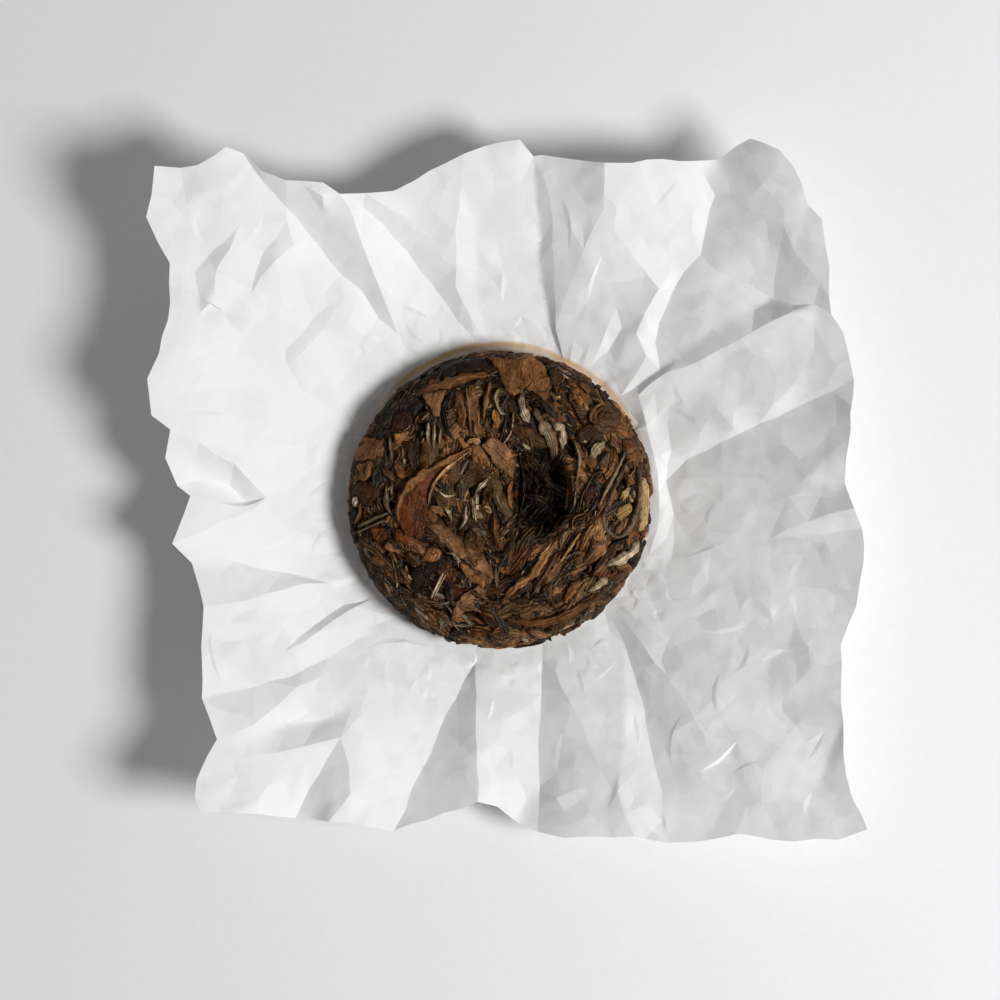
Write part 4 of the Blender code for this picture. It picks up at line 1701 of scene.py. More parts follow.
@dataclass(frozen=True)
class LeafKind:
    """Many alike pieces of leaf that are strewn over the cake."""

    name: str
    finish: LeafFinish
    tints: tuple[Colour, ...]
    count: int
    lengths: Point
    widths: Point
    shapes: tuple[Shape, ...]
    levels: Point
    steps: int = 9
    across: int = 8
    bend: float = 0.5
    under_share: float = 0.17
    ragged: float = 0.12
    painted_sheen: float = 0.0


DARK_LEAVES = LeafKind(
    "dark_leaves", LeafFinish("dark_leaf", roughness=0.35, streak=0.4, relief_mm=0.12, down_and_glint=0.06),
    tints=(SOOT, COAL, PEAT, SOOT, UMBER, MAROON, PEAT),
    count=440, lengths=(10.0, 24.0), widths=(2.6, 6.8), levels=(-0.8, 0.6),
    shapes=(ROLLED, WRINKLED, WRINKLED, FOLDED),
    steps=15, across=14, bend=0.6, ragged=0.18, painted_sheen=0.16,
)
BROWN_LEAVES = LeafKind(
    "brown_leaves", LeafFinish("brown_leaf", roughness=0.37, streak=0.4, relief_mm=0.12, down_and_glint=0.08),
    tints=(BROWN, COPPER, CHESTNUT, TAN, MOSS, MOSS, BROWN, CHESTNUT),
    count=440, lengths=(9.0, 22.0), widths=(2.2, 6.0), levels=(-0.8, 0.65),
    shapes=(WRINKLED, ROLLED, FOLDED),
    steps=15, across=14, bend=0.6, ragged=0.18, painted_sheen=0.3,
)
FINE_STRANDS = LeafKind(
    "fine_strands", LeafFinish("fine_leaf", roughness=0.44, streak=0.3, relief_mm=0.06),
    tints=(UMBER, CHESTNUT, PEAT, HAZEL, BARK, SOOT, MOSS),
    count=270, lengths=(6.0, 15.0), widths=(0.5, 1.2), levels=(-0.2, 0.85),
    shapes=(ROLLED, STEM),
    steps=12, across=6, bend=1.1, under_share=0.1,
)
LEAF_FLAKES = LeafKind(
    "leaf_flakes", LeafFinish("flat_leaf", roughness=0.37, streak=0.25, vein=0.3, relief_mm=0.06, crack=0.6),
    tints=(BROWN, COPPER, CHESTNUT, BARK, UMBER, BROWN, MOSS, UMBER, RUSSET),
    count=320, lengths=(9.0, 18.0), widths=(4.0, 8.0), levels=(-0.9, 0.25),
    shapes=(FLAT, WRINKLED),
    steps=15, across=16, bend=0.4, under_share=0.25, ragged=0.16, painted_sheen=0.15,
)
PALE_BUDS = LeafKind(
    "pale_buds", LeafFinish("downy_bud", roughness=0.56, streak=0.3, relief_mm=0.08, down_and_glint=0.4),
    tints=(PEWTER, ASH, SILVER, ASH),
    count=150, lengths=(5.0, 12.0), widths=(0.9, 2.3), levels=(-0.3, 0.6),
    shapes=(BUD, ROLLED),
    steps=13, across=10, bend=0.8, under_share=0.1,
)
CRUMBS = LeafKind(
    "crumbs", LeafFinish("leaf_crumb", roughness=0.46, streak=0.3, relief_mm=0.06),
    tints=(BARK, UMBER, COPPER, SOOT, CHESTNUT, GOLD, PEAT),
    count=1250, lengths=(1.6, 5.0), widths=(0.6, 1.7), levels=(-0.1, 0.8),
    shapes=(WRINKLED, FOLDED, FLAT),
    steps=6, across=6, bend=0.8, under_share=0.15, ragged=0.25, painted_sheen=0.2,
)
STEMS = LeafKind(
    "stems", LeafFinish("stem", roughness=0.42, streak=0.2, relief_mm=0.04),
    tints=(ASH, BARK, PEWTER, UMBER),
    count=90, lengths=(8.0, 20.0), widths=(0.6, 1.1), levels=(0.0, 0.8),
    shapes=(STEM,),
    steps=15, across=7, bend=1.0,
)


def flow(x: float, y: float, rng: Random) -> float:
    """Which way a piece lies at a place: in sweeps over the top, and around the cake at its rim.

    Args:
        x: the place on a map.
        y: the place on a map.
        rng: random numbers.

    Returns:
        The angle, in radians.
    """
    away, turn = hypot(x, y), atan2(y, x)
    sweeps = ((135.0, 82.0, 1.0), (45.0, 120.0, 1.0), (-45.0, 47.0, 1.2), (-135.0, -52.0, 1.0))
    across = along = 0.0
    for toward, lie, weight in sweeps:
        share = weight * max(0.0, cos(turn - radians(toward))) ** 2
        across += share * cos(2 * radians(lie))
        along += share * sin(2 * radians(lie))
    rim = 2.6 * eased((away - 30.0) / 20.0)
    across += rim * cos(2 * (turn + pi / 2))
    along += rim * sin(2 * (turn + pi / 2))
    spread = 30.0 - 12.0 * eased((away - 40.0) / 12.0)
    return atan2(along, across) / 2 + radians(rng.gauss(0.0, spread)) + pi * rng.randrange(2)


# Larger pieces laid one by one. Their outlines and routes are as seen from straight above.
BROAD_LEAVES: dict[str, Patch] = {
    "red_leaf": Patch(((-9.9, 19.9), (-16.3, 16), (-25.6, 11.7), (-32, 7.4), (-36.2, 2.1), (-37.5, -3.3),
        (-36.6, -8.3), (-33.4, -12.5), (-30.5, -14.3), (-28, -13), (-26.6, -9.7), (-26.3, -3.3),
        (-24.8, 4.6), (-20.6, 10.3), (-14.9, 14.5)), RUSSET, 1.1, 0.7, 80.0, 0.26),
    "veined_leaf": Patch(((-6.7, 19.9), (-2, 22.7), (0.8, 20.6), (4.3, 17.4), (6, 13.1), (4.8, 7.4),
        (0.8, 10.3), (-2.8, 13.8), (-4.6, 17)), HAZEL, 1.3, 0.4, -60.0),
    "dim_leaf": Patch(((-14, 17), (-6, 17), (-3, 12), (0, 8), (-3, 4), (-9, 5), (-14, 4), (-20, 7.5),
        (-22, 10.5), (-18, 14)), BARK, 0.4, 0.3, 30.0, 0.35),
    "red_triangle": Patch(((-28.4, 39.2), (-22.7, 44.2), (-20.2, 41.8), (-24, 40)), CHESTNUT, 1.0),
    "blue_leaf": Patch(((-22, 47.6), (-16.3, 49.4), (-5, 50.2), (-4.6, 46.9), (-13.5, 45.1), (-19.9, 42.7),
        (-21.9, 45.1)), SOOT, 0.8, 0.4, 15.0),
    "trumpet_leaf": Patch(((-27.7, 38), (-18.8, 39.2), (-20.6, 36), (-21.4, 29.8), (-23.5, 30),
        (-25.6, 33.8)), HAZEL, 1.2, 0.6, 80.0),
    "maroon_leaf": Patch(((-39.1, 28.8), (-35.5, 32), (-31.3, 30.5), (-31.3, 26.6), (-35.5, 24.5),
        (-39.1, 25.2)), MAROON, 0.9),
    "gold_triangle": Patch(((-38, 23.4), (-32.3, 24.5), (-34.8, 20.9), (-37.3, 19.5)), COPPER, 1.1, 0.3),
    "tan_leaf_a": Patch(((-49.6, 20.4), (-48.3, 21.6), (-41.2, 21.6), (-41.6, 15.9), (-45.5, 14.5),
        (-50.8, 13.8)), BROWN, 1.0),
    "tan_leaf_b": Patch(((-51.4, 12.2), (-45.5, 13.8), (-46.2, 9.5), (-48.3, 6.7), (-52, 7.4)), COPPER, 1.0),
    "olive_leaf": Patch(((-52.4, 6), (-45.5, 6.7), (-43.4, 3.1), (-46.9, -3.3), (-50.5, -1.1)),
        UMBER, 0.9, 0.5),
    "red_piece": Patch(((-46.6, -10), (-40.9, -9.7), (-40.2, -14), (-44.1, -15.4)), RUSSET, 1.0, 0.3),
    "crimson_piece": Patch(((-37.3, -10), (-33, -12.4), (-27.7, -13), (-28, -15.5), (-33, -16.4),
        (-37.3, -14.8)), RUSSET, 0.8),
    "orange_leaf": Patch(((-28, -20.4), (-25.6, -16.8), (-22, -17.5), (-20.4, -19.7), (-22.7, -21.8),
        (-28.8, -22.1)), COPPER, 1.1),
    "long_leaf": Patch(((-20.4, -9), (-16.3, -12.4), (-10.6, -15), (-7, -19.2), (-2.6, -24.6), (-2, -28.4),
        (-6.3, -26.4), (-10.6, -23.6), (-15.6, -19.4), (-19.2, -16.8)), HAZEL, 1.3, 0.5, -42.0, 0.4),
    "second_lobe": Patch(((-14.5, -22.5), (-10.6, -23.4), (-4.9, -26.8), (-6, -31.8), (-10.6, -28.9),
        (-13.5, -25.8)), COPPER, 1.2, 0.4, -45.0),
    "third_lobe": Patch(((-6.3, -30), (-5.3, -33.9), (-10.6, -38.4), (-14.9, -44), (-17.4, -43.1),
        (-15.8, -36.7), (-12, -32.8)), HAZEL, 1.2, 0.4, 55.0),
    "black_leaf": Patch(((-32, -24.6), (-20.6, -18.9), (-19, -22.5), (-26, -28.2), (-27.5, -33.9),
        (-31.3, -32.5)), SOOT, 0.9, 0.5),
    "crown_leaf": Patch(((-5.3, 51), (0.8, 50.4), (5, 51.8), (10.8, 50.9), (15.7, 47.6), (17.9, 43),
        (18.2, 40.2), (16.4, 35.2), (14.3, 36.6), (11.5, 39.1), (8.3, 39.8), (5.8, 37.3), (2.2, 38.7),
        (0.6, 42.3), (-0.6, 46.6), (-3.1, 49.7)), BROWN, 1.3, 0.5, 85.0, 0.36),
    "night_leaf": Patch(((17.4, 46.2), (20.7, 47.6), (22.9, 43), (20.7, 40.6), (18, 42)), UMBER, 1.0),
    "round_leaf": Patch(((32.8, 32), (38.2, 34), (42.8, 30.9), (42.8, 25.2), (37.8, 23.1), (32.8, 25.9)),
        BARK, 0.9, 0.8, 20.0, 0.35),
    "gold_leaf": Patch(((18.6, 35.2), (23.6, 33.8), (24.3, 28), (20, 27.3)), CHESTNUT, 0.7),
    "rim_leaf": Patch(((43.6, 22), (47.4, 21.5), (50, 14), (49.4, 11.6), (45.5, 12.5)),
        CHESTNUT, 0.8, 0.4, 100.0),
    "wine_leaf": Patch(((29.3, 3.1), (33.5, 6), (33.9, 1), (30.7, -1.1)), MAROON, 0.8),
    "amber_leaf": Patch(((41.2, -5.6), (43.4, -2), (46.6, -0.8), (46.8, -4.5), (43.5, -7.4)),
        GOLD, 0.9, 0.6, 60.0, 0.12),
    "dark_gap": Patch(((-5.6, -18), (1.5, -18.6), (4.4, -20.2), (3, -24), (-1.6, -24.6), (-5, -22)),
        SOOT, 0.5, 0.3, 10.0, 0.5),
    "fox_leaf": Patch(((32.8, -14.5), (40, -14.7), (37.4, -18.6), (33.4, -22.6), (31.8, -19)),
        COPPER, 1.1, 0.4, 60.0),
}

LAID_LEAVES: dict[str, Ribbon] = {
    "red_fold": Ribbon(((-9.6, 19.6), (-16.4, 15.3), (-25.3, 10.5), (-31.4, 5.9), (-35.2, 0.7),
        (-36.4, -4.5), (-35.6, -9.5)), 3.3, COPPER, FOLDED, 2.0, -0.35),
    "red_curl": Ribbon(((-10.2, 18.2), (-16.5, 13.4), (-21.8, 8.6), (-24.8, 3.4), (-25.8, -2)), 1.5, SAND,
        ROLLED, 1.8),
    "pale_lump": Ribbon(((-12.4, 20.2), (-9.6, 21.4), (-6.8, 20.4)), 2.2, SAND, BUD, 1.4),
    "upright_a": Ribbon(((-15.4, 39.8), (-13.8, 32.3), (-13.2, 24.5)), 4.0, CHESTNUT, FLAT, 0.9),
    "upright_b": Ribbon(((-10.1, 41.9), (-9.7, 34.5), (-7.2, 22.4)), 3.8, BROWN, FLAT, 1.1),
    "upright_c": Ribbon(((-3.3, 43), (-5.1, 35.2), (-6.2, 27.3)), 2.2, HAZEL, FOLDED, 1.2),
    "upright_d": Ribbon(((-12.2, 40.9), (-11.2, 32.3), (-10.4, 23.8)), 2.0, HAZEL, FOLDED, 1.3),
    "orange_end": Ribbon(((-1.8, 33), (-1.5, 29), (-1.4, 25.4)), 3.2, TAN, FLAT, 1.2),
    "silver_curve": Ribbon(((0, 40.5), (-1.7, 36.6), (-0.3, 32.3), (1.9, 30.3)), 1.7, SILVER, BUD, 1.5),
    "brown_strip": Ribbon(((-29.8, 37.8), (-20.6, 41), (-13.5, 43.4), (-4.4, 45)), 3.5, BROWN, FLAT, 1.4),
    "black_strand": Ribbon(((-17.4, 39.4), (-19.9, 32.3), (-19.2, 25.9), (-16.3, 20.7)), 2.0, INK,
        ROLLED, 1.0),
    "tan_strand_a": Ribbon(((-25.6, 28), (-25.9, 20.2)), 1.5, SILVER, ROLLED, 1.1),
    "tan_strand_b": Ribbon(((-23.4, 27.6), (-23.9, 18.4)), 1.6, SILVER, ROLLED, 1.3),
    "tan_strand_c": Ribbon(((-21.3, 26.6), (-21.8, 19.5)), 1.4, PEWTER, ROLLED, 1.0),
    "maroon_upright": Ribbon(((-32.9, 22), (-31.6, 17), (-30.5, 11.2)), 5.0, MAROON, FLAT, 0.7),
    "tan_bit_a": Ribbon(((-41.8, 12), (-37.7, 6.6)), 2.8, BARK, FLAT, 1.0),
    "tan_bit_b": Ribbon(((-37.5, 13.6), (-34.6, 7.4)), 2.4, BROWN, FLAT, 1.0),
    "ash_strand_a": Ribbon(((-39.4, 23.5), (-38.7, 12.8)), 1.4, ASH, ROLLED, 1.0),
    "ash_strand_b": Ribbon(((-40.6, 6.5), (-40.6, -1.5), (-38.5, -6)), 1.8, ASH, ROLLED, 0.9),
    "silver_tip": Ribbon(((-51.6, 1.4), (-51.4, -2.8)), 1.8, CREAM, BUD, 0.9),
    "grey_stem": Ribbon(((-51, -10), (-45.5, -6.8), (-39.8, -4.6)), 1.5, ASH, STEM, 1.2),
    "grey_stem_b": Ribbon(((-51.4, -12), (-46, -9.2), (-41, -7)), 1.1, ASH, STEM, 0.9),
    "tan_bit_c": Ribbon(((-41.4, -15.8), (-35.8, -18.9)), 3.0, HAZEL, FLAT, 1.0),
    "tan_bit_d": Ribbon(((-33.6, -14.6), (-27.5, -17.6)), 2.8, HAZEL, FLAT, 1.1),
    "olive_bit": Ribbon(((-33.6, -18.6), (-28.2, -23.4)), 4.0, UMBER, FLAT, 0.8),
    "cream_stem": Ribbon(((-20.2, -25.8), (-24.8, -35.5)), 1.1, CREAM, STEM, 1.7),
    "cream_stem_b": Ribbon(((-19.3, -26.2), (-23.9, -35.2)), 0.9, SILVER, STEM, 1.5),
    "cream_hook": Ribbon(((-12.2, -1.6), (-12.7, -7.3), (-14.6, -10.9)), 1.4, CREAM, BUD, 1.9),
    "cream_bud": Ribbon(((-4.3, 7.9), (-6.8, 4.9), (-9, 2.4)), 2.1, CREAM, BUD, 1.7),
    "grey_bud_a": Ribbon(((-10.4, -4.2), (-6, -6.4)), 2.8, PEWTER, BUD, 1.1),
    "grey_bud_b": Ribbon(((-10.8, -9.8), (-4.6, -12.8)), 2.8, ASH, BUD, 1.0),
    "grey_bud_c": Ribbon(((-10.4, 1), (-9.2, -4.5), (-8.4, -8.5)), 2.4, SILVER, BUD, 1.2),
    "cream_curl_a": Ribbon(((-22.4, 3.4), (-19.4, 1.4), (-16, 1.9)), 1.1, CREAM, ROLLED, 1.3),
    "cream_curl_b": Ribbon(((-21, -2), (-18.4, -4.4), (-17.4, -8)), 1.3, SILVER, ROLLED, 1.2),
    "pink_lump": Ribbon(((-25.4, -2.4), (-20, -4.6)), 3.0, HAZEL, FLAT, 1.0),
    "bud_a": Ribbon(((7.3, 38.3), (8.3, 32.3), (10.6, 27.4)), 3.1, SILVER, BUD, 1.8),
    "bud_b": Ribbon(((12, 33.4), (15, 27.3), (17.9, 22), (19.2, 14.4)), 3.8, PEWTER, BUD, 1.8),
    "bud_c": Ribbon(((19, 28), (22.3, 24.5), (22.2, 18)), 3.4, CREAM, BUD, 1.4),
    "pale_strand": Ribbon(((26.2, 22.2), (28.5, 14.5), (27.3, 6.2)), 1.6, PEWTER, ROLLED, 1.3),
    "tan_bud_a": Ribbon(((32.2, 15), (37.6, 21.8)), 3.6, SILVER, BUD, 1.2),
    "tan_bud_b": Ribbon(((35.4, 12.4), (39.4, 17.6)), 2.2, ASH, BUD, 1.1),
    "hook_strand": Ribbon(((26.2, 41.2), (24.8, 36.8), (27, 32)), 1.3, BARK, ROLLED, 1.1),
    "wine_stem": Ribbon(((24, 37), (30.9, 25.6)), 1.3, UMBER, STEM, 1.0),
    "red_brown_bit": Ribbon(((28, 42.2), (32.4, 38.4)), 3.0, CHESTNUT, FLAT, 1.0),
    "twin_stem_a": Ribbon(((45.2, 18.2), (40, 7.6), (35.4, -1.6)), 1.9, PEWTER, ROLLED, 1.7),
    "twin_stem_b": Ribbon(((46.6, 16.2), (41.9, 6.6), (37.8, -2.2)), 1.6, ASH, ROLLED, 1.3),
    "gold_rim": Ribbon(((51.2, 8.6), (52.4, 0), (50.8, -11.6)), 4.6, STRAW, FLAT, 0.8),
    "gold_rim_b": Ribbon(((49.6, 9), (50.4, 2.4), (50, -4)), 1.6, STRAW, ROLLED, 1.0),
    "yellow_bit": Ribbon(((46.6, 5), (43.3, -0.2)), 2.4, GOLD, FLAT, 0.8),
    "centre_tongue": Ribbon(((4.2, 7), (3.3, 1.7), (4.4, -3.6)), 2.8, COPPER, FOLDED, 1.3),
    "lower_tongue": Ribbon(((-2.3, -4.4), (-1.5, -12.5), (0.2, -17.8)), 3.6, CHESTNUT, FOLDED, 1.2),
    "pit_strand": Ribbon(((6.5, 17.6), (8.6, 7.4), (8, -1.1), (5.8, -10.6)), 1.5, SOOT, ROLLED, 1.5),
    "long_fold": Ribbon(((20.8, -13.4), (15.9, -20.4), (12, -26.2), (5.8, -31), (0.4, -36.4)), 3.6, TAN,
        FOLDED, 1.7, 0.3),
    "gold_fold": Ribbon(((18.9, -14.9), (14.6, -21.2), (11.4, -26)), 2.2, SAND, FOLDED, 1.3),
    "gold_leaf_low": Ribbon(((22.2, -21.4), (15.7, -30)), 3.2, BROWN, FLAT, 1.0),
    "green_stem": Ribbon(((28.8, -11.5), (24.3, -18.2), (20.4, -23.7)), 1.2, GOLD, STEM, 1.8),
    "pale_hook": Ribbon(((27.4, -10.8), (23, -12), (21.7, -17.8)), 1.3, PEWTER, BUD, 1.5),
    "stem_loop": Ribbon(((49.2, 12.2), (49.9, 4.6), (48.8, -3.3), (46.3, -9.7), (42.1, -13.2), (38, -10.6),
        (37.1, -5.4), (39.6, 0.4)), 1.8, ASH, STEM, 1.6),
    "loop_tail": Ribbon(((46.6, -12.8), (38.5, -17.5), (31.9, -28)), 2.0, INK, STEM, 1.5),
    "silver_leaf": Ribbon(((50.2, -14.6), (45.6, -19.7), (38, -23.6)), 4.2, CREAM, FOLDED, 1.2, 0.3),
    "rim_orange": Ribbon(((41, -22.8), (47.4, -25)), 3.4, CHESTNUT, FLAT, 1.0),
    "low_bud_a": Ribbon(((31, -33), (38.8, -28)), 2.6, CREAM, BUD, 1.2),
    "low_bud_b": Ribbon(((33.4, -35.2), (40.4, -30)), 1.7, ASH, BUD, 1.0),
    "orange_fold": Ribbon(((22.7, -37.2), (25.4, -32.6), (28.6, -28.6)), 3.4, COPPER, FOLDED, 1.3, -0.3),
    "ridge_arc_a": Ribbon(((33.2, 26.4), (32.4, 30.4), (35.2, 33.8), (39.6, 33.2)), 1.5, HAZEL, ROLLED, 1.3),
    "ridge_arc_b": Ribbon(((35.2, 26), (34.8, 29.4), (37, 31.4), (40.6, 30.4)), 1.4, UMBER, ROLLED, 1.4),
    "ridge_arc_c": Ribbon(((37.6, 25.4), (37.4, 28), (39, 29), (41.8, 27.4)), 1.3, SOOT, ROLLED, 1.4),
    "pit_wall": Ribbon(((24.4, 5), (24.2, 0.8), (23.4, -3.6)), 1.5, TAN, FOLDED, 1.3),
    "crescent": Ribbon(((1.8, -42.6), (11.5, -44), (20.7, -42.4), (29.3, -37.8), (36.8, -34.4)), 4.0,
        CHESTNUT, ROLLED, 1.5, 0.2),
    "low_glint": Ribbon(((21.4, -46.2), (27, -43.4)), 1.3, SILVER, ROLLED, 1.0),
    "pale_fibres": Ribbon(((9.4, -46.6), (17.8, -48.6)), 3.4, HAZEL, ROLLED, 0.9),
    "rim_strip": Ribbon(((-8, -51.6), (-0.6, -52.8), (7.4, -51.6)), 2.8, COPPER, FLAT, 0.8),
}


@dataclass
class Cake:
    """The pressed cake: a dark core under thousands of rolled, folded and flat pieces of leaf."""

    form: CakeForm = field(default_factory=CakeForm)
    kinds: tuple[LeafKind, ...] = (
        LEAF_FLAKES, DARK_LEAVES, BROWN_LEAVES, FINE_STRANDS, CRUMBS, PALE_BUDS, STEMS,
    )
    reach: float = 69.0
    torn_reach: float = 66.0
    under_reach: float = 50.0
    core_sink: float = 1.9
    torn_count: int = 260
    tuck: float = 1.0
    tones: Point = (0.55, 1.4)
    torn_tones: Point = (0.55, 1.25)
    pale_centre: Point = (-11.0, 3.0)
    seed: int = 21
    seeds: int = 100000

    def build(self) -> list[Object]:
        """Makes the core, the strewn kinds and the pieces laid one by one.

        Returns:
            The pieces.
        """
        self.broad_cover, self.narrow_cover = self.covers()
        made = [self.core()]
        made += [self.strewn(kind, Random(self.seed + k)) for k, kind in enumerate(self.kinds)]
        return [*made, self.torn(Random(self.seed + 50)), self.laid(), self.broad()]

    def core(self, rings: int = 90, segments: int = 180) -> Object:
        """Makes the dark inner body, closed all round.

        Args:
            rings: how many rings it has, from the crown to the underside.
            segments: how many points each ring has.

        Returns:
            The object.
        """
        spots = np.linspace(0.6, self.form.length() - 0.6, rings)
        turns = np.linspace(0.0, tau, segments, endpoint=False)
        spot, turn = (grid.ravel() for grid in np.meshgrid(spots, turns, indexing="ij"))
        x, y = spot * np.cos(turn), spot * np.sin(turn)
        r = np.minimum(spot, self.form.length() - spot)
        height = 0.35 * ripple(r * np.cos(turn), r * np.sin(turn) + spot * 0.4, 2.6, 3) - self.core_sink
        points = self.form.place(x, y, height, np.zeros_like(x))
        number = np.arange(rings * segments).reshape(rings, segments)
        after = np.roll(number, -1, axis=1)
        faces = np.stack([number[:-1], number[1:], after[1:], after[:-1]], axis=-1).reshape(-1, 4).tolist()
        faces += [number[0].tolist(), number[-1][::-1].tolist()]
        mesh = bpy.data.meshes.new("cake_core")
        mesh.from_pydata((points * MM).tolist(), [], faces)
        mesh.shade_smooth()
        bench = NodeBench("cake_core")
        bench.finish((0.010, 0.007, 0.005, 1.0), 0.95, 0.05)
        mesh.materials.append(bench.material)
        return in_scene("cake_core", mesh)

    def strewn(self, kind: LeafKind, rng: Random) -> Object:
        """Strews one kind over both maps.

        Args:
            kind: the kind.
            rng: its random numbers.

        Returns:
            The joined pieces as one object.
        """
        heap = Heap(self.form)
        under_count = round(kind.count * kind.under_share)
        for number in range(kind.count):
            under = number < under_count
            x, y = self.spot(self.under_reach if under else self.reach, rng)
            lie = flow(x, y, rng)
            length = rng.uniform(*kind.lengths) * rng.uniform(0.7, 1.0)
            bend = rng.gauss(0.0, kind.bend) * length * 0.16
            a, b = length / 2 * cos(lie), length / 2 * sin(lie)
            middle = (x - sin(lie) * bend, y + cos(lie) * bend)
            route = ((x - a, y - b), middle, (x + a, y + b))
            tone_and_pit_shade = rng.uniform(*self.tones) * self.tone_and_pit_shade(x, y)
            tint = tuple(value * tone_and_pit_shade for value in rng.choice(kind.tints))
            level = rng.uniform(*kind.levels) - (0.5 if under else 0.0)
            if not under and self.is_covered(route):
                level -= self.tuck
            heap.add_ribbon(Ribbon(
                route, rng.uniform(*kind.widths), tint, rng.choice(kind.shapes), level,
                rng.uniform(-0.4, 0.4), rng.gauss(0.0, 0.18), kind.steps, kind.across, under,
                ragged=kind.ragged, sink=0.9, painted_sheen=kind.painted_sheen, seed=rng.randrange(self.seeds),
            ))
        return heap.build(kind.name, kind.finish)

    @staticmethod
    def spot(reach: float, rng: Random) -> Point:
        """A random place on a map, at most a given distance from its middle."""
        away, turn = reach * sqrt(rng.random()), rng.uniform(0, tau)
        return away * cos(turn), away * sin(turn)

    def covers(self) -> tuple[Array, Array]:
        """Finds what the leaves laid one by one cover.

        Returns:
            Places with a radius for each, under the broad leaves and under the narrow ones.
        """
        broad, narrow = [], []
        for leaf in (leaf for leaf in BROAD_LEAVES.values() if leaf.level > 0.75):
            outline = self.form.seen_from_above(leaf.outline)
            low, high = np.min(outline, axis=0), np.max(outline, axis=0)
            for x in np.arange(low[0], high[0], 2.0):
                broad += [(x, y, 1.6) for y in np.arange(low[1], high[1], 2.0) if inside(outline, x, y)]
        for strand in LAID_LEAVES.values():
            route = smooth_route(self.form.seen_from_above(strand.route), 16)
            narrow += [(x, y, 0.5 * strand.width + 0.4) for x, y in route]
        return np.array(broad), np.array(narrow)

    def is_covered(self, route: Sequence[Point]) -> bool:
        """Whether a strewn piece lies where a leaf laid one by one has to show.

        Args:
            route: the piece's route.

        Returns:
            True where most of it is under a broad leaf, or any of it is under a narrow one.
        """
        under_broad = 0
        for x, y in smooth_route(route, 5):
            under_broad += bool(np.any(distances(self.broad_cover, x, y) < self.broad_cover[:, 2]))
            if np.any(distances(self.narrow_cover, x, y) < self.narrow_cover[:, 2]):
                return True
        return under_broad >= 3

    def torn(self, rng: Random) -> Object:
        """Strews torn, angular bits of broad leaf over both maps.

        Args:
            rng: random numbers.

        Returns:
            The joined bits as one object.
        """
        heap = Heap(self.form)
        for number in range(self.torn_count):
            under = number < self.torn_count // 4
            x, y = self.spot(self.under_reach if under else self.torn_reach, rng)
            lie = flow(x, y, rng)
            size, stretch, corners = rng.uniform(2.2, 4.6), rng.uniform(1.2, 2.1), rng.randint(6, 9)
            outline = []
            for corner in range(corners):
                spoke = (corner + rng.uniform(-0.35, 0.35)) * tau / corners
                a = rng.uniform(0.6, 1.15) * size * stretch * cos(spoke)
                b = rng.uniform(0.6, 1.15) * size * sin(spoke)
                spot_x = x + a * cos(lie) - b * sin(lie)
                outline.append((spot_x, y + a * sin(lie) + b * cos(lie)))
            tone_and_pit_shade = rng.uniform(*self.torn_tones) * self.tone_and_pit_shade(x, y)
            tint = tuple(value * tone_and_pit_shade for value in rng.choice(LEAF_FLAKES.tints))
            level = rng.uniform(-0.5, 0.45) - (0.4 if under else 0.0)
            if not under and self.is_covered(((x - 2.0, y), (x, y), (x + 2.0, y))):
                level -= self.tuck
            heap.add_patch(Patch(
                outline, tint, level, dome=rng.uniform(0.2, 0.7), vein_turn=degrees(lie), wrinkle=0.3,
                pitch=1.15, under=under, seed=rng.randrange(self.seeds),
            ))
        return heap.build("torn_leaves", LeafFinish(
            "torn_leaf", roughness=0.46, streak=0.16, vein=0.35, relief_mm=0.05, mottle=0.25, crack=0.7,
        ))

    def tone_and_pit_shade(self, x: float, y: float) -> float:
        """How light the pieces at a place are, with painted shade in the pit.

        Args:
            x: the place on a map.
            y: the place on a map.

        Returns:
            A share: less at the far left rim, on the near side and in the pit, more in the dish.
        """
        turn = atan2(y, x)
        rim = eased((hypot(x, y) - 34.0) / 14.0)
        side = (1.0 + 0.12 * x / 54.0) * (1.06 - 0.3 * eased(-y / 40.0))
        side *= 1.0 + 0.8 * eased(1.0 - dist((x, y), self.pale_centre) / 12.0)
        # Painted shade: the pieces in the pit are darkened.
        pit_x, pit_y = self.form.pit_centre
        pit = eased((1.2 - hypot((x - pit_x) / 10.0, (y - pit_y) / 15.5)) * 4.0)
        return side * (1.0 - 0.4 * rim * max(0.0, cos(turn - radians(140.0)))) * (1.0 - 0.92 * pit)

    def laid(self) -> Object:
        """Lays the larger rolled, folded and stem pieces.

        Returns:
            The joined pieces as one object.
        """
        heap = Heap(self.form)
        for number, piece in enumerate(LAID_LEAVES.values()):
            steps = 12 + round(len(piece.route) * 5)
            route = self.form.seen_from_above(piece.route)
            ragged = 0.2 if piece.shape in (FLAT, BUD, FOLDED) else 0.1
            heap.add_ribbon(replace(
                piece, route=route, level=piece.level - 0.35, steps=steps, across=15, ragged=ragged,
                sink=1.6, painted_sheen=0.12, seed=300 + number * 17,
            ))
        finish = LeafFinish("laid_leaf", roughness=0.4, streak=0.34, relief_mm=0.06)
        return heap.build("laid_leaves", finish)

    def broad(self) -> Object:
        """Lays the broad leaves.

        Returns:
            The joined leaves as one object.
        """
        heap = Heap(self.form)
        for number, piece in enumerate(BROAD_LEAVES.values()):
            outline = self.form.seen_from_above(piece.outline)
            seed = 500 + number * 13
            heap.add_patch(replace(piece, outline=outline, level=piece.level - 0.2, seed=seed))
        return heap.build("broad_leaves", LeafFinish(
            "broad_leaf", roughness=0.44, streak=0.12, vein=0.4, relief_mm=0.04, mottle=0.24, crack=0.65,
        ))


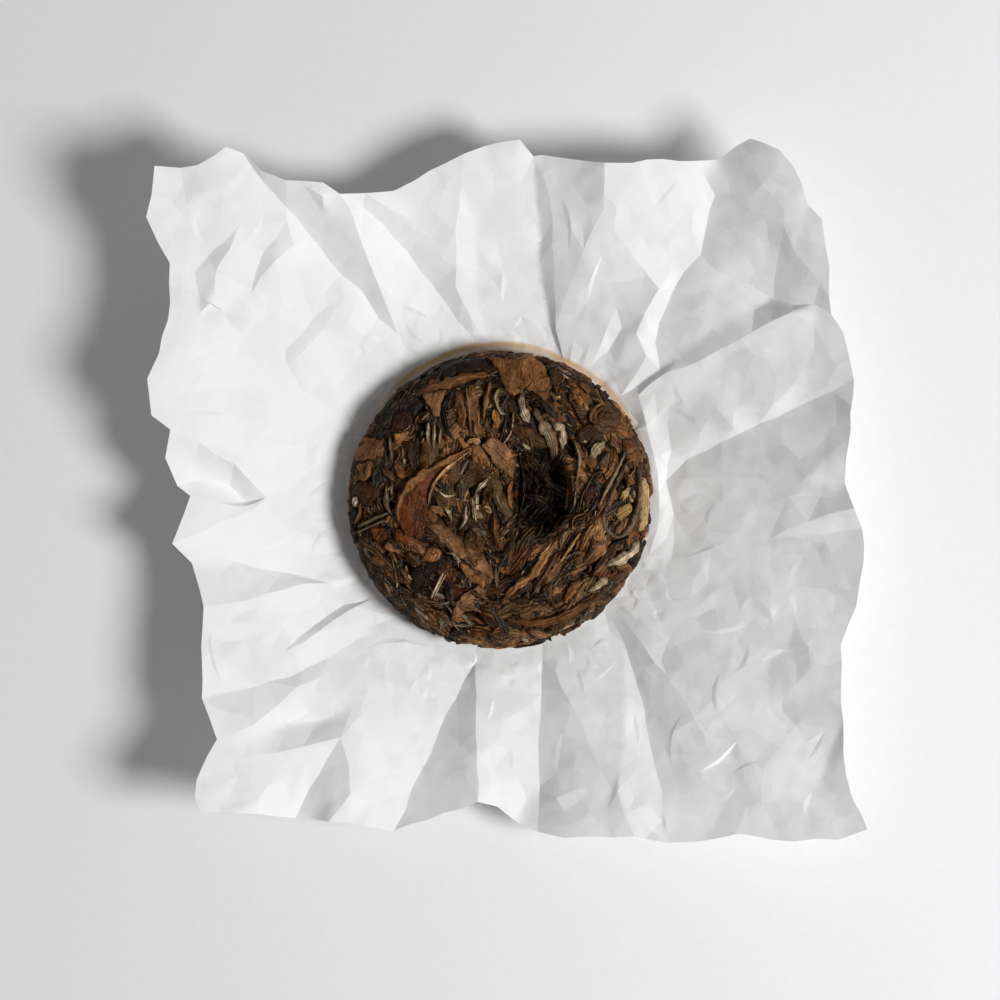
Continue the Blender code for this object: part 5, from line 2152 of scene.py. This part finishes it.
def main() -> None:
    """Builds the studio and the part."""
    logging.basicConfig(level=logging.INFO, format="%(message)s")
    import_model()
    Studio().build()
    sheet = Wrapper().build()
    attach(sheet, "root")
    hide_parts("wrapper")
    for piece in Cake().build():
        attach(piece, "root")
        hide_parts("tea_cake")
        LOG.info("%s: %d faces", piece.name, len(piece.data.polygons))
    LOG.info("wrapper: %d faces", len(sheet.data.polygons))


if __name__ == "__main__":
    main()
